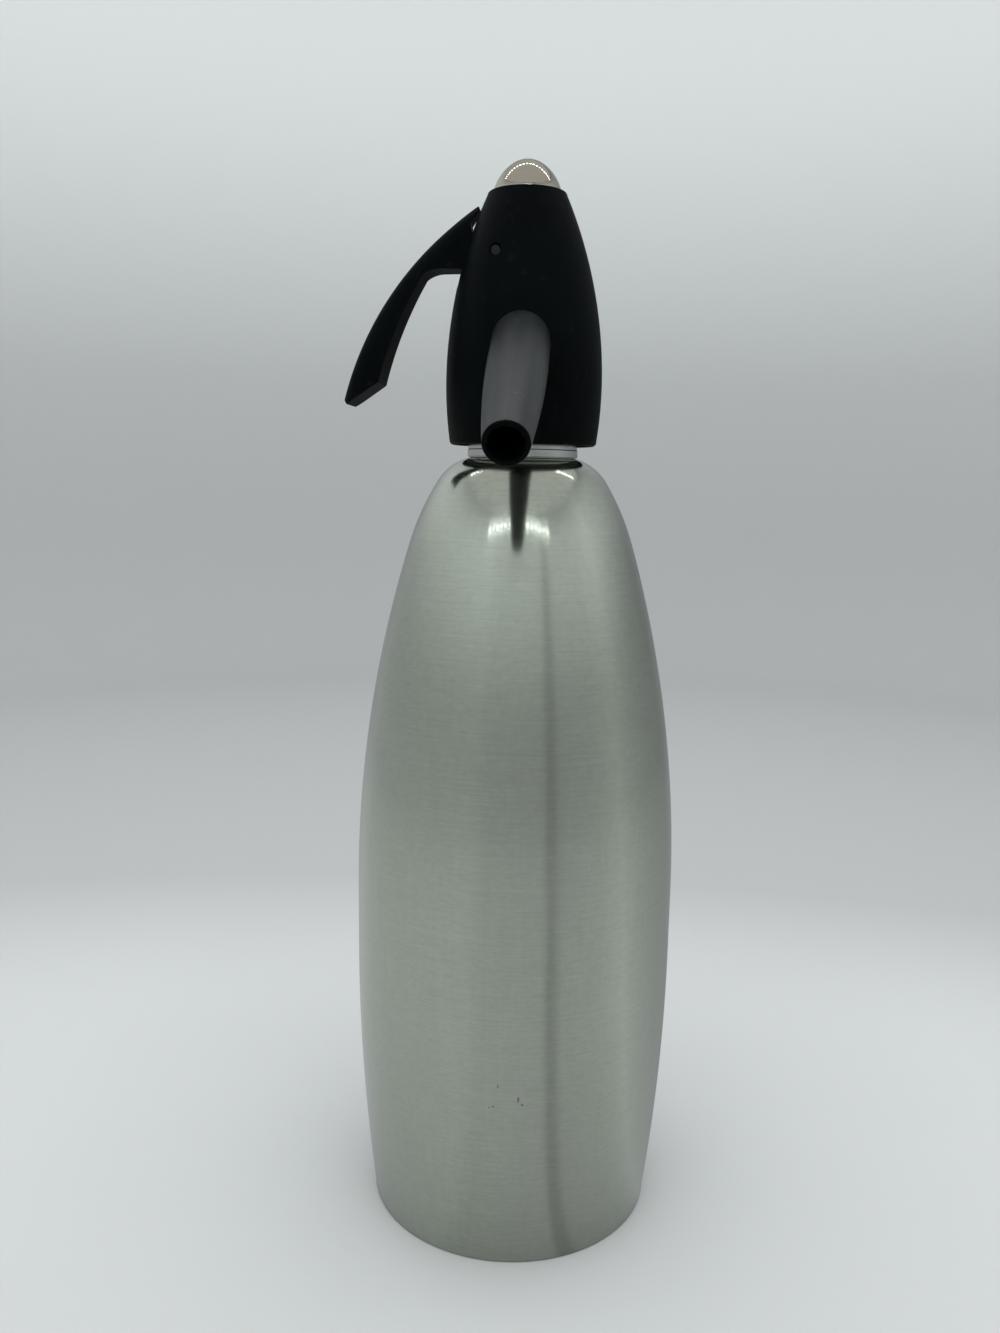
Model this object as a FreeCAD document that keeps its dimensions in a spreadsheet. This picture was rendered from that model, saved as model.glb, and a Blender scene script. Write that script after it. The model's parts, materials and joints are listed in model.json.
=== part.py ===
import FreeCAD, Part
import math
import os
import re

import Sketcher

# Soda siphon in millimetres. The bottle stands on z = 0 with its axis on Z.
# The spout points along -Y, the lever along -X and the gas charger along +Y.

SIZES = {
    # bottle
    "base_taper": 4.95,
    "base_edge": 0.6,
    "foot_seam": 2.0,
    "foot_width": 4.0,
    "dome_rise": 6.0,
    "bottle_wall": 1.0,
    "belly_radius": 47.85,
    "belly_low": 80.0,
    "belly_high": 100.0,
    "flank_radius": 355.0,
    "shoulder_seam": 190.0,
    "blend_start": 203.0,
    "blend_radius": 75.0,
    "corner_turn": 32.0,
    "corner_radius": 15.0,
    # neck and its threaded ring
    "neck_radius": 15.0,
    "neck_top": 240.0,
    "ring_bottom": 227.8,
    "bead_radius": 15.9,
    "bead_height": 2.2,
    "thread_root": 15.7,
    "thread_depth": 0.9,
    "thread_pitch": 3.0,
    "thread_ridge": 1.5,
    "thread_start": 1.6,
    "thread_length": 6.0,
    "ring_step": 0.4,
    # head casing
    "skirt_bottom": 231.1,
    "skirt_radius": 21.2,
    "skirt_lip": 1.2,
    "head_widest": 248.0,
    "head_radius": 22.3,
    "head_curve": 124.5,
    "head_wall": 2.8,
    "rim_top": 300.1,
    "rim_corner": 0.6,
    # chromed nose
    "nose_top": 309.1,
    "nose_apex": 8.0,
    "nose_flank": 12.5,
    "nose_blend": 35.0,
    "nose_wall": 1.2,
    "nose_skirt": 7.1,
    "nose_step": 1.0,
    "nose_cone_base": 303.0,
    "nose_cone_top": 307.4,
    # joint between neck and head
    "gasket_width": 3.6,
    "gasket_thickness": 1.5,
    "collar_inset": 1.2,
    "thread_clearance": 0.3,
    "fit_clearance": 0.05,
    # valve block
    "flange_height": 5.5,
    "core_radius": 16.0,
    "core_shoulder": 271.5,
    "core_top": 274.0,
    "core_crown": 12.0,
    "chamber_radius": 6.0,
    "chamber_floor": 250.0,
    "water_hole": 3.0,
    "riser_socket": 7.5,
    "gas_hole": 0.9,
    "gas_hole_offset": 9.5,
    # riser tube
    "riser_radius": 4.0,
    "riser_wall": 1.0,
    "riser_bottom": 9.5,
    "riser_notch": 3.0,
    "seal_thickness": 1.5,
    "ferrule_recess": 0.3,
    # valve
    "seat_bore": 2.8,
    "seat_lip": 1.0,
    "seat_base": 3.0,
    "seat_height": 5.0,
    "spindle_radius": 1.6,
    "spindle_tip": 2.0,
    "spindle_tip_height": 1.5,
    "disc_radius": 4.4,
    "washer_thickness": 2.55,
    "disc_thickness": 1.4,
    "spindle_top": 299.8,
    "lift_collar_height": 2.0,
    "spring_wire": 0.9,
    "spring_radius": 3.3,
    "spring_turns": 5.0,
    "retainer_thickness": 2.5,
    # gland
    "gland_bottom": 268.5,
    "gland_floor": 1.7,
    "gland_flange_radius": 9.0,
    "gland_flange": 2.0,
    "ring_section": 0.85,
    "nut_hex_radius": 5.2,
    "nut_height": 2.4,
    # lever, its distances measured outwards from the bottle's axis
    "pivot_offset": 7.6,
    "pivot_height": 282.5,
    "pin_radius": 1.25,
    "pin_half_length": 14.2,
    "pin_recess_radius": 1.75,
    "boss_radius": 3.2,
    "boss_gap": 0.4,
    "hub_radius": 3.2,
    "pad_radius": 1.8,
    "web_half_width": 4.2,
    "fork_half_gap": 2.2,
    "fork_depth": 3.2,
    "slot_clearance": 0.4,
    "slot_bottom": 274.5,
    "slot_top": 290.0,
    "horn_reach": 14.1,
    "horn_height": 296.4,
    "horn_round": 0.8,
    "horn_stop_height": 295.6,
    "horn_stop_gap": 0.3,
    "notch_reach": 15.6,
    "notch_height": 292.0,
    "notch_bottom": 289.6,
    "leaf_curve": 91.6,
    "tip_reach": 51.3,
    "tip_height": 243.3,
    "toe_width": 1.1,
    "toe_drop": 1.4,
    "heel_width": 10.3,
    "heel_rise": 4.8,
    "palm_curve": 110.0,
    "crook_reach": 28.7,
    "crook_drop": 5.0,
    "web_reach": 23.5,
    "leaf_start": 19.0,
    "leaf_half_width": 8.0,
    "leaf_rounding": 3.8,
    # spout, its distances measured along its own axis from the bottle's axis
    "spout_crossing": 268.0,
    "spout_slope": 27.9,
    "spout_radius": 7.95,
    "spout_swell": 8.0,
    "spout_swell_at": 34.0,
    "spout_length": 82.6,
    "spout_tip_radius": 5.6,
    "spout_bore": 3.8,
    "spout_mouth": 4.3,
    "spigot_radius": 5.5,
    "spigot_start": 12.0,
    "spigot_shoulder": 18.5,
    "spout_seal_thickness": 1.2,
    # gas charger, its distances measured backwards from the bottle's axis
    "charger_height": 254.0,
    "port_pocket": 8.5,
    "port_start": 10.5,
    "port_stem_radius": 5.0,
    "port_flange_start": 16.5,
    "port_radius": 9.5,
    "port_end": 30.0,
    "ball_room_start": 11.3,
    "ball_room_length": 4.0,
    "ball_room_radius": 1.6,
    "ball_radius": 1.4,
    "pin_room_start": 18.0,
    "pin_room_radius": 2.6,
    "neck_room_start": 24.0,
    "neck_room_radius": 4.6,
    "needle_base": 2.0,
    "needle_radius": 0.8,
    "needle_bore": 0.35,
    "needle_end": 27.4,
    "needle_point": 1.6,
    "charger_seal_thickness": 1.2,
    "bulb_length": 65.0,
    "bulb_radius": 9.3,
    "bulb_neck_radius": 4.3,
    "bulb_neck_length": 6.5,
    "bulb_shoulder": 9.0,
    "bulb_pierced_radius": 1.15,
    "bulb_wall": 1.4,
    "holder_radius": 12.5,
    "holder_clearance": 0.1,
    "holder_gap": 0.4,
    "holder_end_wall": 2.1,
    "holder_end_gap": 0.2,
    "holder_round": 5.0,
}

# Values worked out from the sizes: radii of tangent curves and stacked heights.
LEVELS = {
    "base_radius": "belly_radius - base_taper",
    "foot_inner": "base_radius - base_edge - foot_width",
    "dome_curve": "(foot_inner^2 + dome_rise^2) / (2 * dome_rise)",
    "foot_curve": "(base_taper^2 + (belly_low - foot_seam)^2) / (2 * base_taper)",
    "flank_axis": "belly_radius - flank_radius",
    "inner_flank": "flank_radius - bottle_wall",
    "seam_rise": "shoulder_seam - belly_high",
    "seam_radius": "flank_axis + sqrt(flank_radius^2 - seam_rise^2)",
    "inner_seam_radius": "flank_axis + sqrt(inner_flank^2 - seam_rise^2)",
    "flank_sin": "(blend_start - belly_high) / flank_radius",
    "flank_cos": "sqrt(1 - flank_sin^2)",
    "blend_axis": "flank_axis + (flank_radius - blend_radius) * flank_cos",
    "blend_level": "belly_high + (flank_radius - blend_radius) * flank_sin",
    "inner_blend": "blend_radius - bottle_wall",
    "corner_sin": "sin(corner_turn * 1 deg)",
    "corner_cos": "cos(corner_turn * 1 deg)",
    "corner_axis": "blend_axis + (blend_radius - corner_radius) * corner_cos",
    "corner_level": "blend_level + (blend_radius - corner_radius) * corner_sin",
    "inner_corner": "corner_radius - bottle_wall",
    "neck_bore": "neck_radius - bottle_wall",
    "neck_root": "corner_level + sqrt(corner_radius^2 - (neck_radius - corner_axis)^2)",
    "inner_root": "corner_level + sqrt(inner_corner^2 - (neck_bore - corner_axis)^2)",
    "bead_top": "ring_bottom + bead_height",
    "ring_top": "neck_top - ring_step",
    "thread_crest": "thread_root + thread_depth",
    "core_bottom": "neck_top + gasket_thickness",
    "head_bore": "head_radius - head_wall",
    "skirt_flare": "head_radius - skirt_radius",
    "skirt_rise": "head_widest - skirt_bottom - skirt_lip",
    "skirt_curve": "(skirt_flare^2 + skirt_rise^2) / (2 * skirt_flare)",
    "rim_shoulder": "rim_top - rim_corner",
    "head_axis": "head_radius - head_curve",
    "rim_radius": "head_axis + sqrt(head_curve^2 - (rim_shoulder - head_widest)^2)",
    "inner_curve": "head_curve - head_wall",
    "nose_sin": "sin(nose_blend * 1 deg)",
    "nose_cos": "cos(nose_blend * 1 deg)",
    "nose_level": "nose_top - nose_apex - (nose_flank - nose_apex) * nose_cos",
    "nose_radius": "sqrt(nose_flank^2 - (rim_top - nose_level)^2) - (nose_flank - nose_apex) * nose_sin",
    "nose_bore": "nose_radius + 2 * fit_clearance",
    "bore_level": "head_widest + sqrt(inner_curve^2 - (nose_bore - head_axis)^2)",
    "nose_bottom": "rim_top - nose_skirt",
    "nose_inner": "nose_radius - nose_wall",
    "retainer_top": "nose_bottom + nose_skirt - rim_corner",
    "retainer_bottom": "retainer_top - retainer_thickness",
    "riser_shoulder": "core_bottom + riser_socket",
    "riser_top": "riser_shoulder - seal_thickness",
    "seat_top": "chamber_floor + seat_height",
    "washer_bottom": "seat_top + fit_clearance",
    "disc_bottom": "washer_bottom + washer_thickness",
    "collar_bottom": "pivot_height + pad_radius + fit_clearance",
    "collar_top": "collar_bottom + lift_collar_height",
    "groove_bottom": "gland_bottom + gland_floor",
    "groove_top": "groove_bottom + 2 * ring_section + 4 * fit_clearance",
    "gland_top": "core_top + gland_flange",
    "ring_bore": "spindle_radius + fit_clearance",
    "gland_bore": "spindle_radius + 2 * fit_clearance",
    "groove_radius": "ring_bore + 2 * ring_section + fit_clearance",
    "slot_half_width": "web_half_width + slot_clearance",
    "prong_run": "sqrt(hub_radius^2 - pad_radius^2)",
    "head_at_stop": "head_axis + sqrt(head_curve^2 - (horn_stop_height - head_widest)^2)",
    "head_at_notch": "head_axis + sqrt(head_curve^2 - (notch_bottom - head_widest)^2)",
    "crook_height": "pivot_height - crook_drop",
    "arch_run": "crook_reach - web_reach",
    "arch_rise": "crook_drop - hub_radius",
    "arch_curve": "(arch_run^2 + arch_rise^2) / (2 * arch_rise)",
    "tip_run": "spout_length - spout_swell_at",
    "tip_drop": "spout_swell - spout_tip_radius",
    "spout_curve": "(tip_run^2 + tip_drop^2) / (2 * tip_drop)",
    "bulb_start": "neck_room_start + charger_seal_thickness",
    "bulb_end": "bulb_start + bulb_length",
    "holder_bore": "port_radius + holder_clearance",
    "holder_start": "head_radius + holder_gap",
    "holder_floor": "bulb_end + holder_end_gap",
    "holder_end": "holder_floor + holder_end_wall",
}

WORD = re.compile(r"[a-z_]{3,}")
# A sketch numbers an edge's points 1, 2 and 3, its own two axes -1 and -2.
START, END, CENTRE = range(1, 4)
ACROSS_AXIS, UP_AXIS = range(-1, -3, -1)

doc = FreeCAD.newDocument("SodaSiphon")


def make_sheet(name, entries):
    """Write one row for each named value: its name in column A, the value in column B."""
    sheet = doc.addObject("Spreadsheet::Sheet", name)
    for row, (word, entry) in enumerate(entries.items(), start=1):
        sheet.set(f"A{row}", word)
        sheet.set(f"B{row}", entry)
        sheet.setAlias(f"B{row}", word)
    doc.recompute()
    return sheet


def tie(text):
    """Point each named value in a formula at the sheet that holds it."""

    def full_name(found):
        word = found.group()
        if word in SIZES:
            return "Sizes." + word
        if word in LEVELS:
            return "Levels." + word
        return word

    return WORD.sub(full_name, text)


sizes = make_sheet("Sizes", {word: str(number) for word, number in SIZES.items()})
levels = make_sheet("Levels", {word: "=" + tie(formula) for word, formula in LEVELS.items()})

nodes = []


def worth(text):
    """The present number of a formula."""
    return float(sizes.evalExpression(tie(text)))


def node(piece, label):
    """Name a finished piece and keep it for the parts folder."""
    piece.Label = label
    nodes.append(piece)
    return piece


def place(piece, x="0", y="0", z="0", tilt="0"):
    """Seat a piece at x, y, z with its own Z axis turned about X by the tilt in degrees."""
    angle = worth(tilt)
    turn = FreeCAD.Rotation(FreeCAD.Vector(1, 0, 0), angle)
    piece.Placement = FreeCAD.Placement(FreeCAD.Vector(worth(x), worth(y), worth(z)), turn)
    piece.setExpression("Placement.Base.x", tie(x))
    piece.setExpression("Placement.Base.y", tie(y))
    piece.setExpression("Placement.Base.z", tie(z))
    if angle:
        piece.setExpression("Placement.Rotation.Angle", tie(tilt))
    return piece


def arc_between(start, end, radius):
    """The short arc from start to end, anticlockwise for a positive radius."""
    chord = end - start
    side = FreeCAD.Vector(-chord.y, chord.x, 0).normalize()
    rise = math.sqrt(max(radius * radius - chord.Length * chord.Length / 4, 0.0))
    centre = (start + end) * 0.5 + side * math.copysign(rise, radius)
    circle = Part.Circle(centre, FreeCAD.Vector(0, 0, 1), abs(radius))
    first, last = (start, end) if radius > 0 else (end, start)
    return Part.ArcOfCircle(circle, circle.parameter(first), circle.parameter(last))


def hold(sketch, side, point, axis, text):
    """Hold one coordinate of a sketch point at the value of a formula."""
    number = worth(text)
    if abs(number) < 1e-9:
        line = UP_AXIS if axis == "DistanceX" else ACROSS_AXIS
        sketch.addConstraint(Sketcher.Constraint("PointOnObject", side, point, line))
        return
    if number > 0:
        ends = (ACROSS_AXIS, START, side, point)
        bound = tie(text)
    else:
        ends = (side, point, ACROSS_AXIS, START)
        bound = "-(" + tie(text) + ")"
    index = sketch.addConstraint(Sketcher.Constraint(axis, *ends, abs(number)))
    sketch.setExpression(f"Constraints[{index}]", bound)


def outline(body, name, plane, corners):
    """Draw a closed outline on a plane of the body.

    A corner is (across, up) in formulas. A third entry is the radius of the arc that
    leads to it, and a fourth is -1 where that arc turns clockwise.
    """
    sketch = body.newObject("Sketcher::SketchObject", name)
    roles = {feature.Role: feature for feature in body.Origin.OriginFeatures}
    sketch.AttachmentSupport = [(roles[plane], "")]
    sketch.MapMode = "FlatFace"
    points = [FreeCAD.Vector(worth(corner[0]), worth(corner[1]), 0) for corner in corners]
    ends = []
    for index, corner in enumerate(corners):
        start, end = points[index - 1], points[index]
        if len(corner) == 2:
            sketch.addGeometry(Part.LineSegment(start, end), False)
            ends.append((START, END))
            continue
        direction = corner[3] if len(corner) > 3 else 1
        sketch.addGeometry(arc_between(start, end, direction * worth(corner[2])), False)
        ends.append((START, END) if direction > 0 else (END, START))
    for index, (first, last) in enumerate(ends):
        after = (index + 1) % len(ends)
        sketch.addConstraint(Sketcher.Constraint("Coincident", index, last, after, ends[after][0]))
    for index, corner in enumerate(corners):
        hold(sketch, index, ends[index][1], "DistanceX", corner[0])
        hold(sketch, index, ends[index][1], "DistanceY", corner[1])
        if len(corner) > 2:
            round_off = sketch.addConstraint(Sketcher.Constraint("Radius", index, worth(corner[2])))
            sketch.setExpression(f"Constraints[{round_off}]", tie(corner[2]))
    return sketch


def turned(name, corners, **seat):
    """A body turned round its own Z axis from a half section."""
    body = doc.addObject("PartDesign::Body", name)
    sketch = outline(body, name + "_section", "XZ_Plane", corners)
    spin = body.newObject("PartDesign::Revolution", name + "_turn")
    spin.Profile = sketch
    spin.ReferenceAxis = (sketch, ["V_Axis"])
    spin.Angle = 360.0
    body.Tip = spin
    place(body, **seat)
    return body


def extruded(name, plane, corners, half_width):
    """A body with an outline pushed out evenly to both sides of its plane."""
    body = doc.addObject("PartDesign::Body", name)
    sketch = outline(body, name + "_outline", plane, corners)
    pad = body.newObject("PartDesign::Pad", name + "_pad")
    pad.Profile = sketch
    pad.Midplane = True
    pad.setExpression("Length", tie("2 * (" + half_width + ")"))
    body.Tip = pad
    return body


def ring(name, inner, outer, bottom, top, **seat):
    """A plain washer or tube between two radii and two levels."""
    corners = [(outer, bottom), (outer, top), (inner, top), (inner, bottom)]
    return turned(name, corners, **seat)


def rod(name, radius, length, **seat):
    """A round cutter or pin that starts at its seat."""
    piece = doc.addObject("Part::Cylinder", name)
    piece.setExpression("Radius", tie(radius))
    piece.setExpression("Height", tie(length))
    return place(piece, **seat)


def block(name, length, width, height, **seat):
    """A box whose near lower corner is at its seat."""
    piece = doc.addObject("Part::Box", name)
    piece.setExpression("Length", tie(length))
    piece.setExpression("Width", tie(width))
    piece.setExpression("Height", tie(height))
    return place(piece, **seat)


def joined(name, pieces):
    """One solid of several overlapping ones."""
    whole = doc.addObject("Part::MultiFuse", name)
    whole.Shapes = pieces
    return whole


def cut_by(name, base, tools):
    """A solid with one or more others taken out of it."""
    cut = doc.addObject("Part::Cut", name)
    cut.Base = base
    cut.Tool = tools[0] if len(tools) == 1 else joined(name + "_tools", tools)
    return cut


BACKWARDS = {"z": "charger_height", "tilt": "-90"}
ALONG_SPOUT = {"z": "spout_crossing", "tilt": "90 + spout_slope"}


# Bottle: a domed base, a body and a shoulder with the neck, welded edge to edge.
def make_bottle():
    base = turned(
        "base_plate",
        [
            ("0", "dome_rise"),
            ("foot_inner", "0", "dome_curve", -1),
            ("base_radius - base_edge", "0"),
            ("base_radius", "base_edge", "base_edge"),
            ("base_radius", "foot_seam"),
            ("base_radius - bottle_wall", "foot_seam"),
            ("base_radius - bottle_wall", "bottle_wall"),
            ("foot_inner", "bottle_wall"),
            ("0", "dome_rise + bottle_wall", "dome_curve"),
        ],
    )
    node(base, "bottle_base")
    body = turned(
        "belly",
        [
            ("base_radius", "foot_seam"),
            ("belly_radius", "belly_low", "foot_curve"),
            ("belly_radius", "belly_high"),
            ("seam_radius", "shoulder_seam", "flank_radius"),
            ("inner_seam_radius", "shoulder_seam"),
            ("belly_radius - bottle_wall", "belly_high", "inner_flank", -1),
            ("belly_radius - bottle_wall", "belly_low"),
            ("base_radius - bottle_wall", "foot_seam", "foot_curve", -1),
        ],
    )
    node(body, "bottle_body")
    shoulder = turned(
        "shoulder",
        [
            ("seam_radius", "shoulder_seam"),
            ("flank_axis + flank_radius * flank_cos", "blend_start", "flank_radius"),
            (
                "blend_axis + blend_radius * corner_cos",
                "blend_level + blend_radius * corner_sin",
                "blend_radius",
            ),
            ("neck_radius", "neck_root", "corner_radius"),
            ("neck_radius", "neck_top"),
            ("neck_bore", "neck_top"),
            ("neck_bore", "inner_root"),
            (
                "blend_axis + inner_blend * corner_cos",
                "blend_level + inner_blend * corner_sin",
                "inner_corner",
                -1,
            ),
            (
                "flank_axis + inner_flank * flank_cos",
                "belly_high + inner_flank * flank_sin",
                "inner_blend",
                -1,
            ),
            ("inner_seam_radius", "shoulder_seam", "inner_flank", -1),
        ],
    )
    node(shoulder, "bottle_shoulder")


# Neck ring: a bead over the groove and a sleeve with a rising thread ridge.
def make_neck_ring():
    body = turned(
        "neck_sleeve",
        [
            ("neck_radius", "ring_bottom"),
            ("bead_radius", "ring_bottom"),
            ("bead_radius", "bead_top"),
            ("thread_root", "bead_top"),
            ("thread_root", "ring_top"),
            ("neck_radius", "ring_top"),
        ],
    )
    low = "bead_top + thread_start"
    profile = outline(
        body,
        "thread_profile",
        "XZ_Plane",
        [
            ("thread_root - fit_clearance", low + " - thread_ridge / 2"),
            ("thread_crest", low + " - thread_ridge / 6"),
            ("thread_crest", low + " + thread_ridge / 6"),
            ("thread_root - fit_clearance", low + " + thread_ridge / 2"),
        ],
    )
    thread = body.newObject("PartDesign::AdditiveHelix", "neck_thread")
    thread.Profile = profile
    thread.ReferenceAxis = (profile, ["V_Axis"])
    thread.Mode = "pitch-height-angle"
    thread.setExpression("Pitch", tie("thread_pitch"))
    thread.setExpression("Height", tie("thread_length"))
    body.Tip = thread
    node(body, "neck_ring")


# Head casing: an outer and an inner curve with the same centre, then its openings.
def make_head_shell():
    shell = turned(
        "casing",
        [
            ("head_bore", "skirt_bottom"),
            ("skirt_radius - skirt_lip", "skirt_bottom"),
            ("skirt_radius", "skirt_bottom + skirt_lip", "skirt_lip"),
            ("head_radius", "head_widest", "skirt_curve"),
            ("rim_radius", "rim_shoulder", "head_curve"),
            ("rim_radius - rim_corner", "rim_top", "rim_corner"),
            ("nose_bore", "rim_top"),
            ("nose_bore", "bore_level"),
            ("head_bore", "head_widest", "inner_curve", -1),
        ],
    )
    bosses = rod(
        "pin_bosses",
        "boss_radius",
        "2 * (head_bore - head_wall)",
        x="-pivot_offset",
        y="-(head_bore - head_wall)",
        z="pivot_height",
        tilt="-90",
    )
    inside = turned(
        "casing_inside",
        [
            ("0", "head_widest"),
            ("head_radius - head_wall / 2", "head_widest"),
            ("nose_bore", "bore_level", "head_curve - head_wall / 2"),
            ("0", "bore_level"),
        ],
    )
    held = doc.addObject("Part::Common", "bosses_inside")
    held.Base = bosses
    held.Tool = inside
    between = block(
        "boss_space",
        "4 * boss_radius",
        "2 * (slot_half_width + boss_gap)",
        "4 * boss_radius",
        x="-pivot_offset - 2 * boss_radius",
        y="-(slot_half_width + boss_gap)",
        z="pivot_height - 2 * boss_radius",
    )
    posts = cut_by("boss_posts", held, [between])
    slot = block(
        "lever_slot",
        "head_radius",
        "2 * slot_half_width",
        "slot_top - slot_bottom",
        x="-pivot_offset - head_radius",
        y="-slot_half_width",
        z="slot_bottom",
    )
    pin_hole = rod(
        "pin_hole",
        "pin_radius + fit_clearance / 2",
        "2 * pin_half_length",
        x="-pivot_offset",
        y="-pin_half_length",
        z="pivot_height",
        tilt="-90",
    )
    recesses = [
        rod(
            "pin_recess_" + side,
            "pin_recess_radius",
            "head_radius",
            x="-pivot_offset",
            y=start,
            z="pivot_height",
            tilt=tilt,
        )
        for side, start, tilt in (
            ("front", "-pin_half_length", "90"),
            ("rear", "pin_half_length", "-90"),
        )
    ]
    spout_hole = rod(
        "spout_hole",
        "spout_radius + fit_clearance",
        "spigot_shoulder",
        y="-(spigot_start * cos(spout_slope * 1 deg))",
        z="spout_crossing - spigot_start * sin(spout_slope * 1 deg)",
        tilt="90 + spout_slope",
    )
    port_hole = rod(
        "port_hole",
        "port_radius + 2 * fit_clearance",
        "port_end - port_start",
        y="port_start",
        z="charger_height",
        tilt="-90",
    )
    casing = joined("casing_with_bosses", [shell, posts])
    tools = [slot, pin_hole, spout_hole, port_hole] + recesses
    node(cut_by("head_casing", casing, tools), "head_shell")


# Nose: a round point flowing into the casing's curve, hollow for the spring's disc.
def make_nose_cap():
    nose = turned(
        "nose",
        [
            ("nose_inner", "nose_bottom"),
            ("nose_radius", "nose_bottom"),
            ("nose_radius", "rim_top"),
            ("nose_apex * nose_sin", "nose_top - nose_apex * (1 - nose_cos)", "nose_flank"),
            ("0", "nose_top", "nose_apex"),
            ("0", "nose_cone_top"),
            ("nose_inner - nose_step", "nose_cone_base"),
            ("nose_inner - nose_step", "retainer_top"),
            ("nose_inner", "retainer_top"),
        ],
    )
    node(nose, "nose_cap")


def make_neck_joint():
    node(
        ring("gasket", "neck_radius + bottle_wall / 2 - gasket_width", "neck_radius + bottle_wall / 2",
             "neck_top", "core_bottom"),
        "head_gasket",
    )
    node(
        ring("collar", "thread_crest + thread_clearance", "head_bore - fit_clearance",
             "skirt_bottom + collar_inset", "core_bottom"),
        "threaded_collar",
    )


# Valve block: a turned body with sockets for the riser, the spout and the gas fitting.
def make_core():
    body = turned(
        "core",
        [
            ("chamber_radius", "core_bottom"),
            ("head_bore - fit_clearance", "core_bottom"),
            ("head_bore - fit_clearance", "core_bottom + flange_height"),
            ("core_radius", "core_bottom + flange_height"),
            ("core_radius", "core_shoulder"),
            ("core_crown", "core_top"),
            ("chamber_radius", "core_top"),
            ("chamber_radius", "chamber_floor"),
            ("water_hole", "chamber_floor"),
            ("water_hole", "riser_shoulder"),
            ("chamber_radius", "riser_shoulder"),
        ],
    )
    seal_start = "spigot_start - spout_seal_thickness"
    drop = "spout_crossing - (" + seal_start + ") * sin(spout_slope * 1 deg)"
    shoulder_drop = "spout_crossing - spigot_shoulder * sin(spout_slope * 1 deg)"
    tools = [
        rod("spout_passage", "spout_bore", "spigot_start", **ALONG_SPOUT),
        rod(
            "spout_socket",
            "spigot_radius + fit_clearance",
            "core_radius",
            y="-(" + seal_start + ") * cos(spout_slope * 1 deg)",
            z=drop,
            tilt="90 + spout_slope",
        ),
        rod(
            "spout_counterbore",
            "spout_radius + 2 * fit_clearance",
            "core_radius",
            y="-spigot_shoulder * cos(spout_slope * 1 deg)",
            z=shoulder_drop,
            tilt="90 + spout_slope",
        ),
        rod(
            "port_socket",
            "port_stem_radius + fit_clearance",
            "core_radius",
            y="port_pocket",
            z="charger_height",
            tilt="-90",
        ),
        rod(
            "port_seat",
            "port_radius + 2 * fit_clearance",
            "core_radius",
            y="port_flange_start",
            z="charger_height",
            tilt="-90",
        ),
        rod(
            "gas_passage",
            "gas_hole",
            "charger_height - core_bottom",
            y="gas_hole_offset",
            z="core_bottom",
        ),
    ]
    node(cut_by("valve_block", body, tools), "head_core")


def make_riser():
    tube = ring("riser", "riser_radius - riser_wall", "riser_radius", "riser_bottom", "riser_top")
    notch = block(
        "riser_notch_block",
        "4 * riser_radius",
        "riser_radius",
        "riser_notch",
        x="-2 * riser_radius",
        y="-riser_radius / 2",
        z="riser_bottom",
    )
    node(cut_by("riser_notched", tube, [notch]), "riser_tube")
    node(
        ring("ferrule", "riser_radius + fit_clearance", "chamber_radius - fit_clearance",
             "core_bottom + ferrule_recess", "riser_top"),
        "riser_ferrule",
    )
    node(
        ring("riser_washer", "riser_radius - riser_wall", "chamber_radius - fit_clearance",
             "riser_top", "riser_shoulder"),
        "riser_seal",
    )


def make_valve():
    seat = turned(
        "seat",
        [
            ("seat_bore", "chamber_floor"),
            ("chamber_radius - fit_clearance", "chamber_floor"),
            ("chamber_radius - fit_clearance", "chamber_floor + seat_base"),
            ("seat_bore + seat_lip", "chamber_floor + seat_base"),
            ("seat_bore + seat_lip", "seat_top"),
            ("seat_bore", "seat_top"),
        ],
    )
    node(seat, "valve_seat")
    spindle = turned(
        "spindle",
        [
            ("0", "washer_bottom - spindle_tip_height"),
            ("spindle_tip", "washer_bottom - spindle_tip_height"),
            ("spindle_tip", "washer_bottom"),
            ("spindle_radius", "washer_bottom"),
            ("spindle_radius", "disc_bottom"),
            ("disc_radius", "disc_bottom"),
            ("disc_radius", "disc_bottom + disc_thickness"),
            ("spindle_radius", "disc_bottom + disc_thickness"),
            ("spindle_radius", "spindle_top"),
            ("0", "spindle_top"),
        ],
    )
    node(spindle, "valve_spindle")
    node(ring("washer", "ring_bore", "disc_radius", "washer_bottom", "disc_bottom"), "valve_washer")
    node(ring("lifter", "ring_bore", "disc_radius", "collar_bottom", "collar_top"), "lift_collar")
    node(
        ring("retainer", "spindle_radius + 4 * fit_clearance", "nose_inner - fit_clearance",
             "retainer_bottom", "retainer_top"),
        "spring_retainer",
    )


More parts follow.
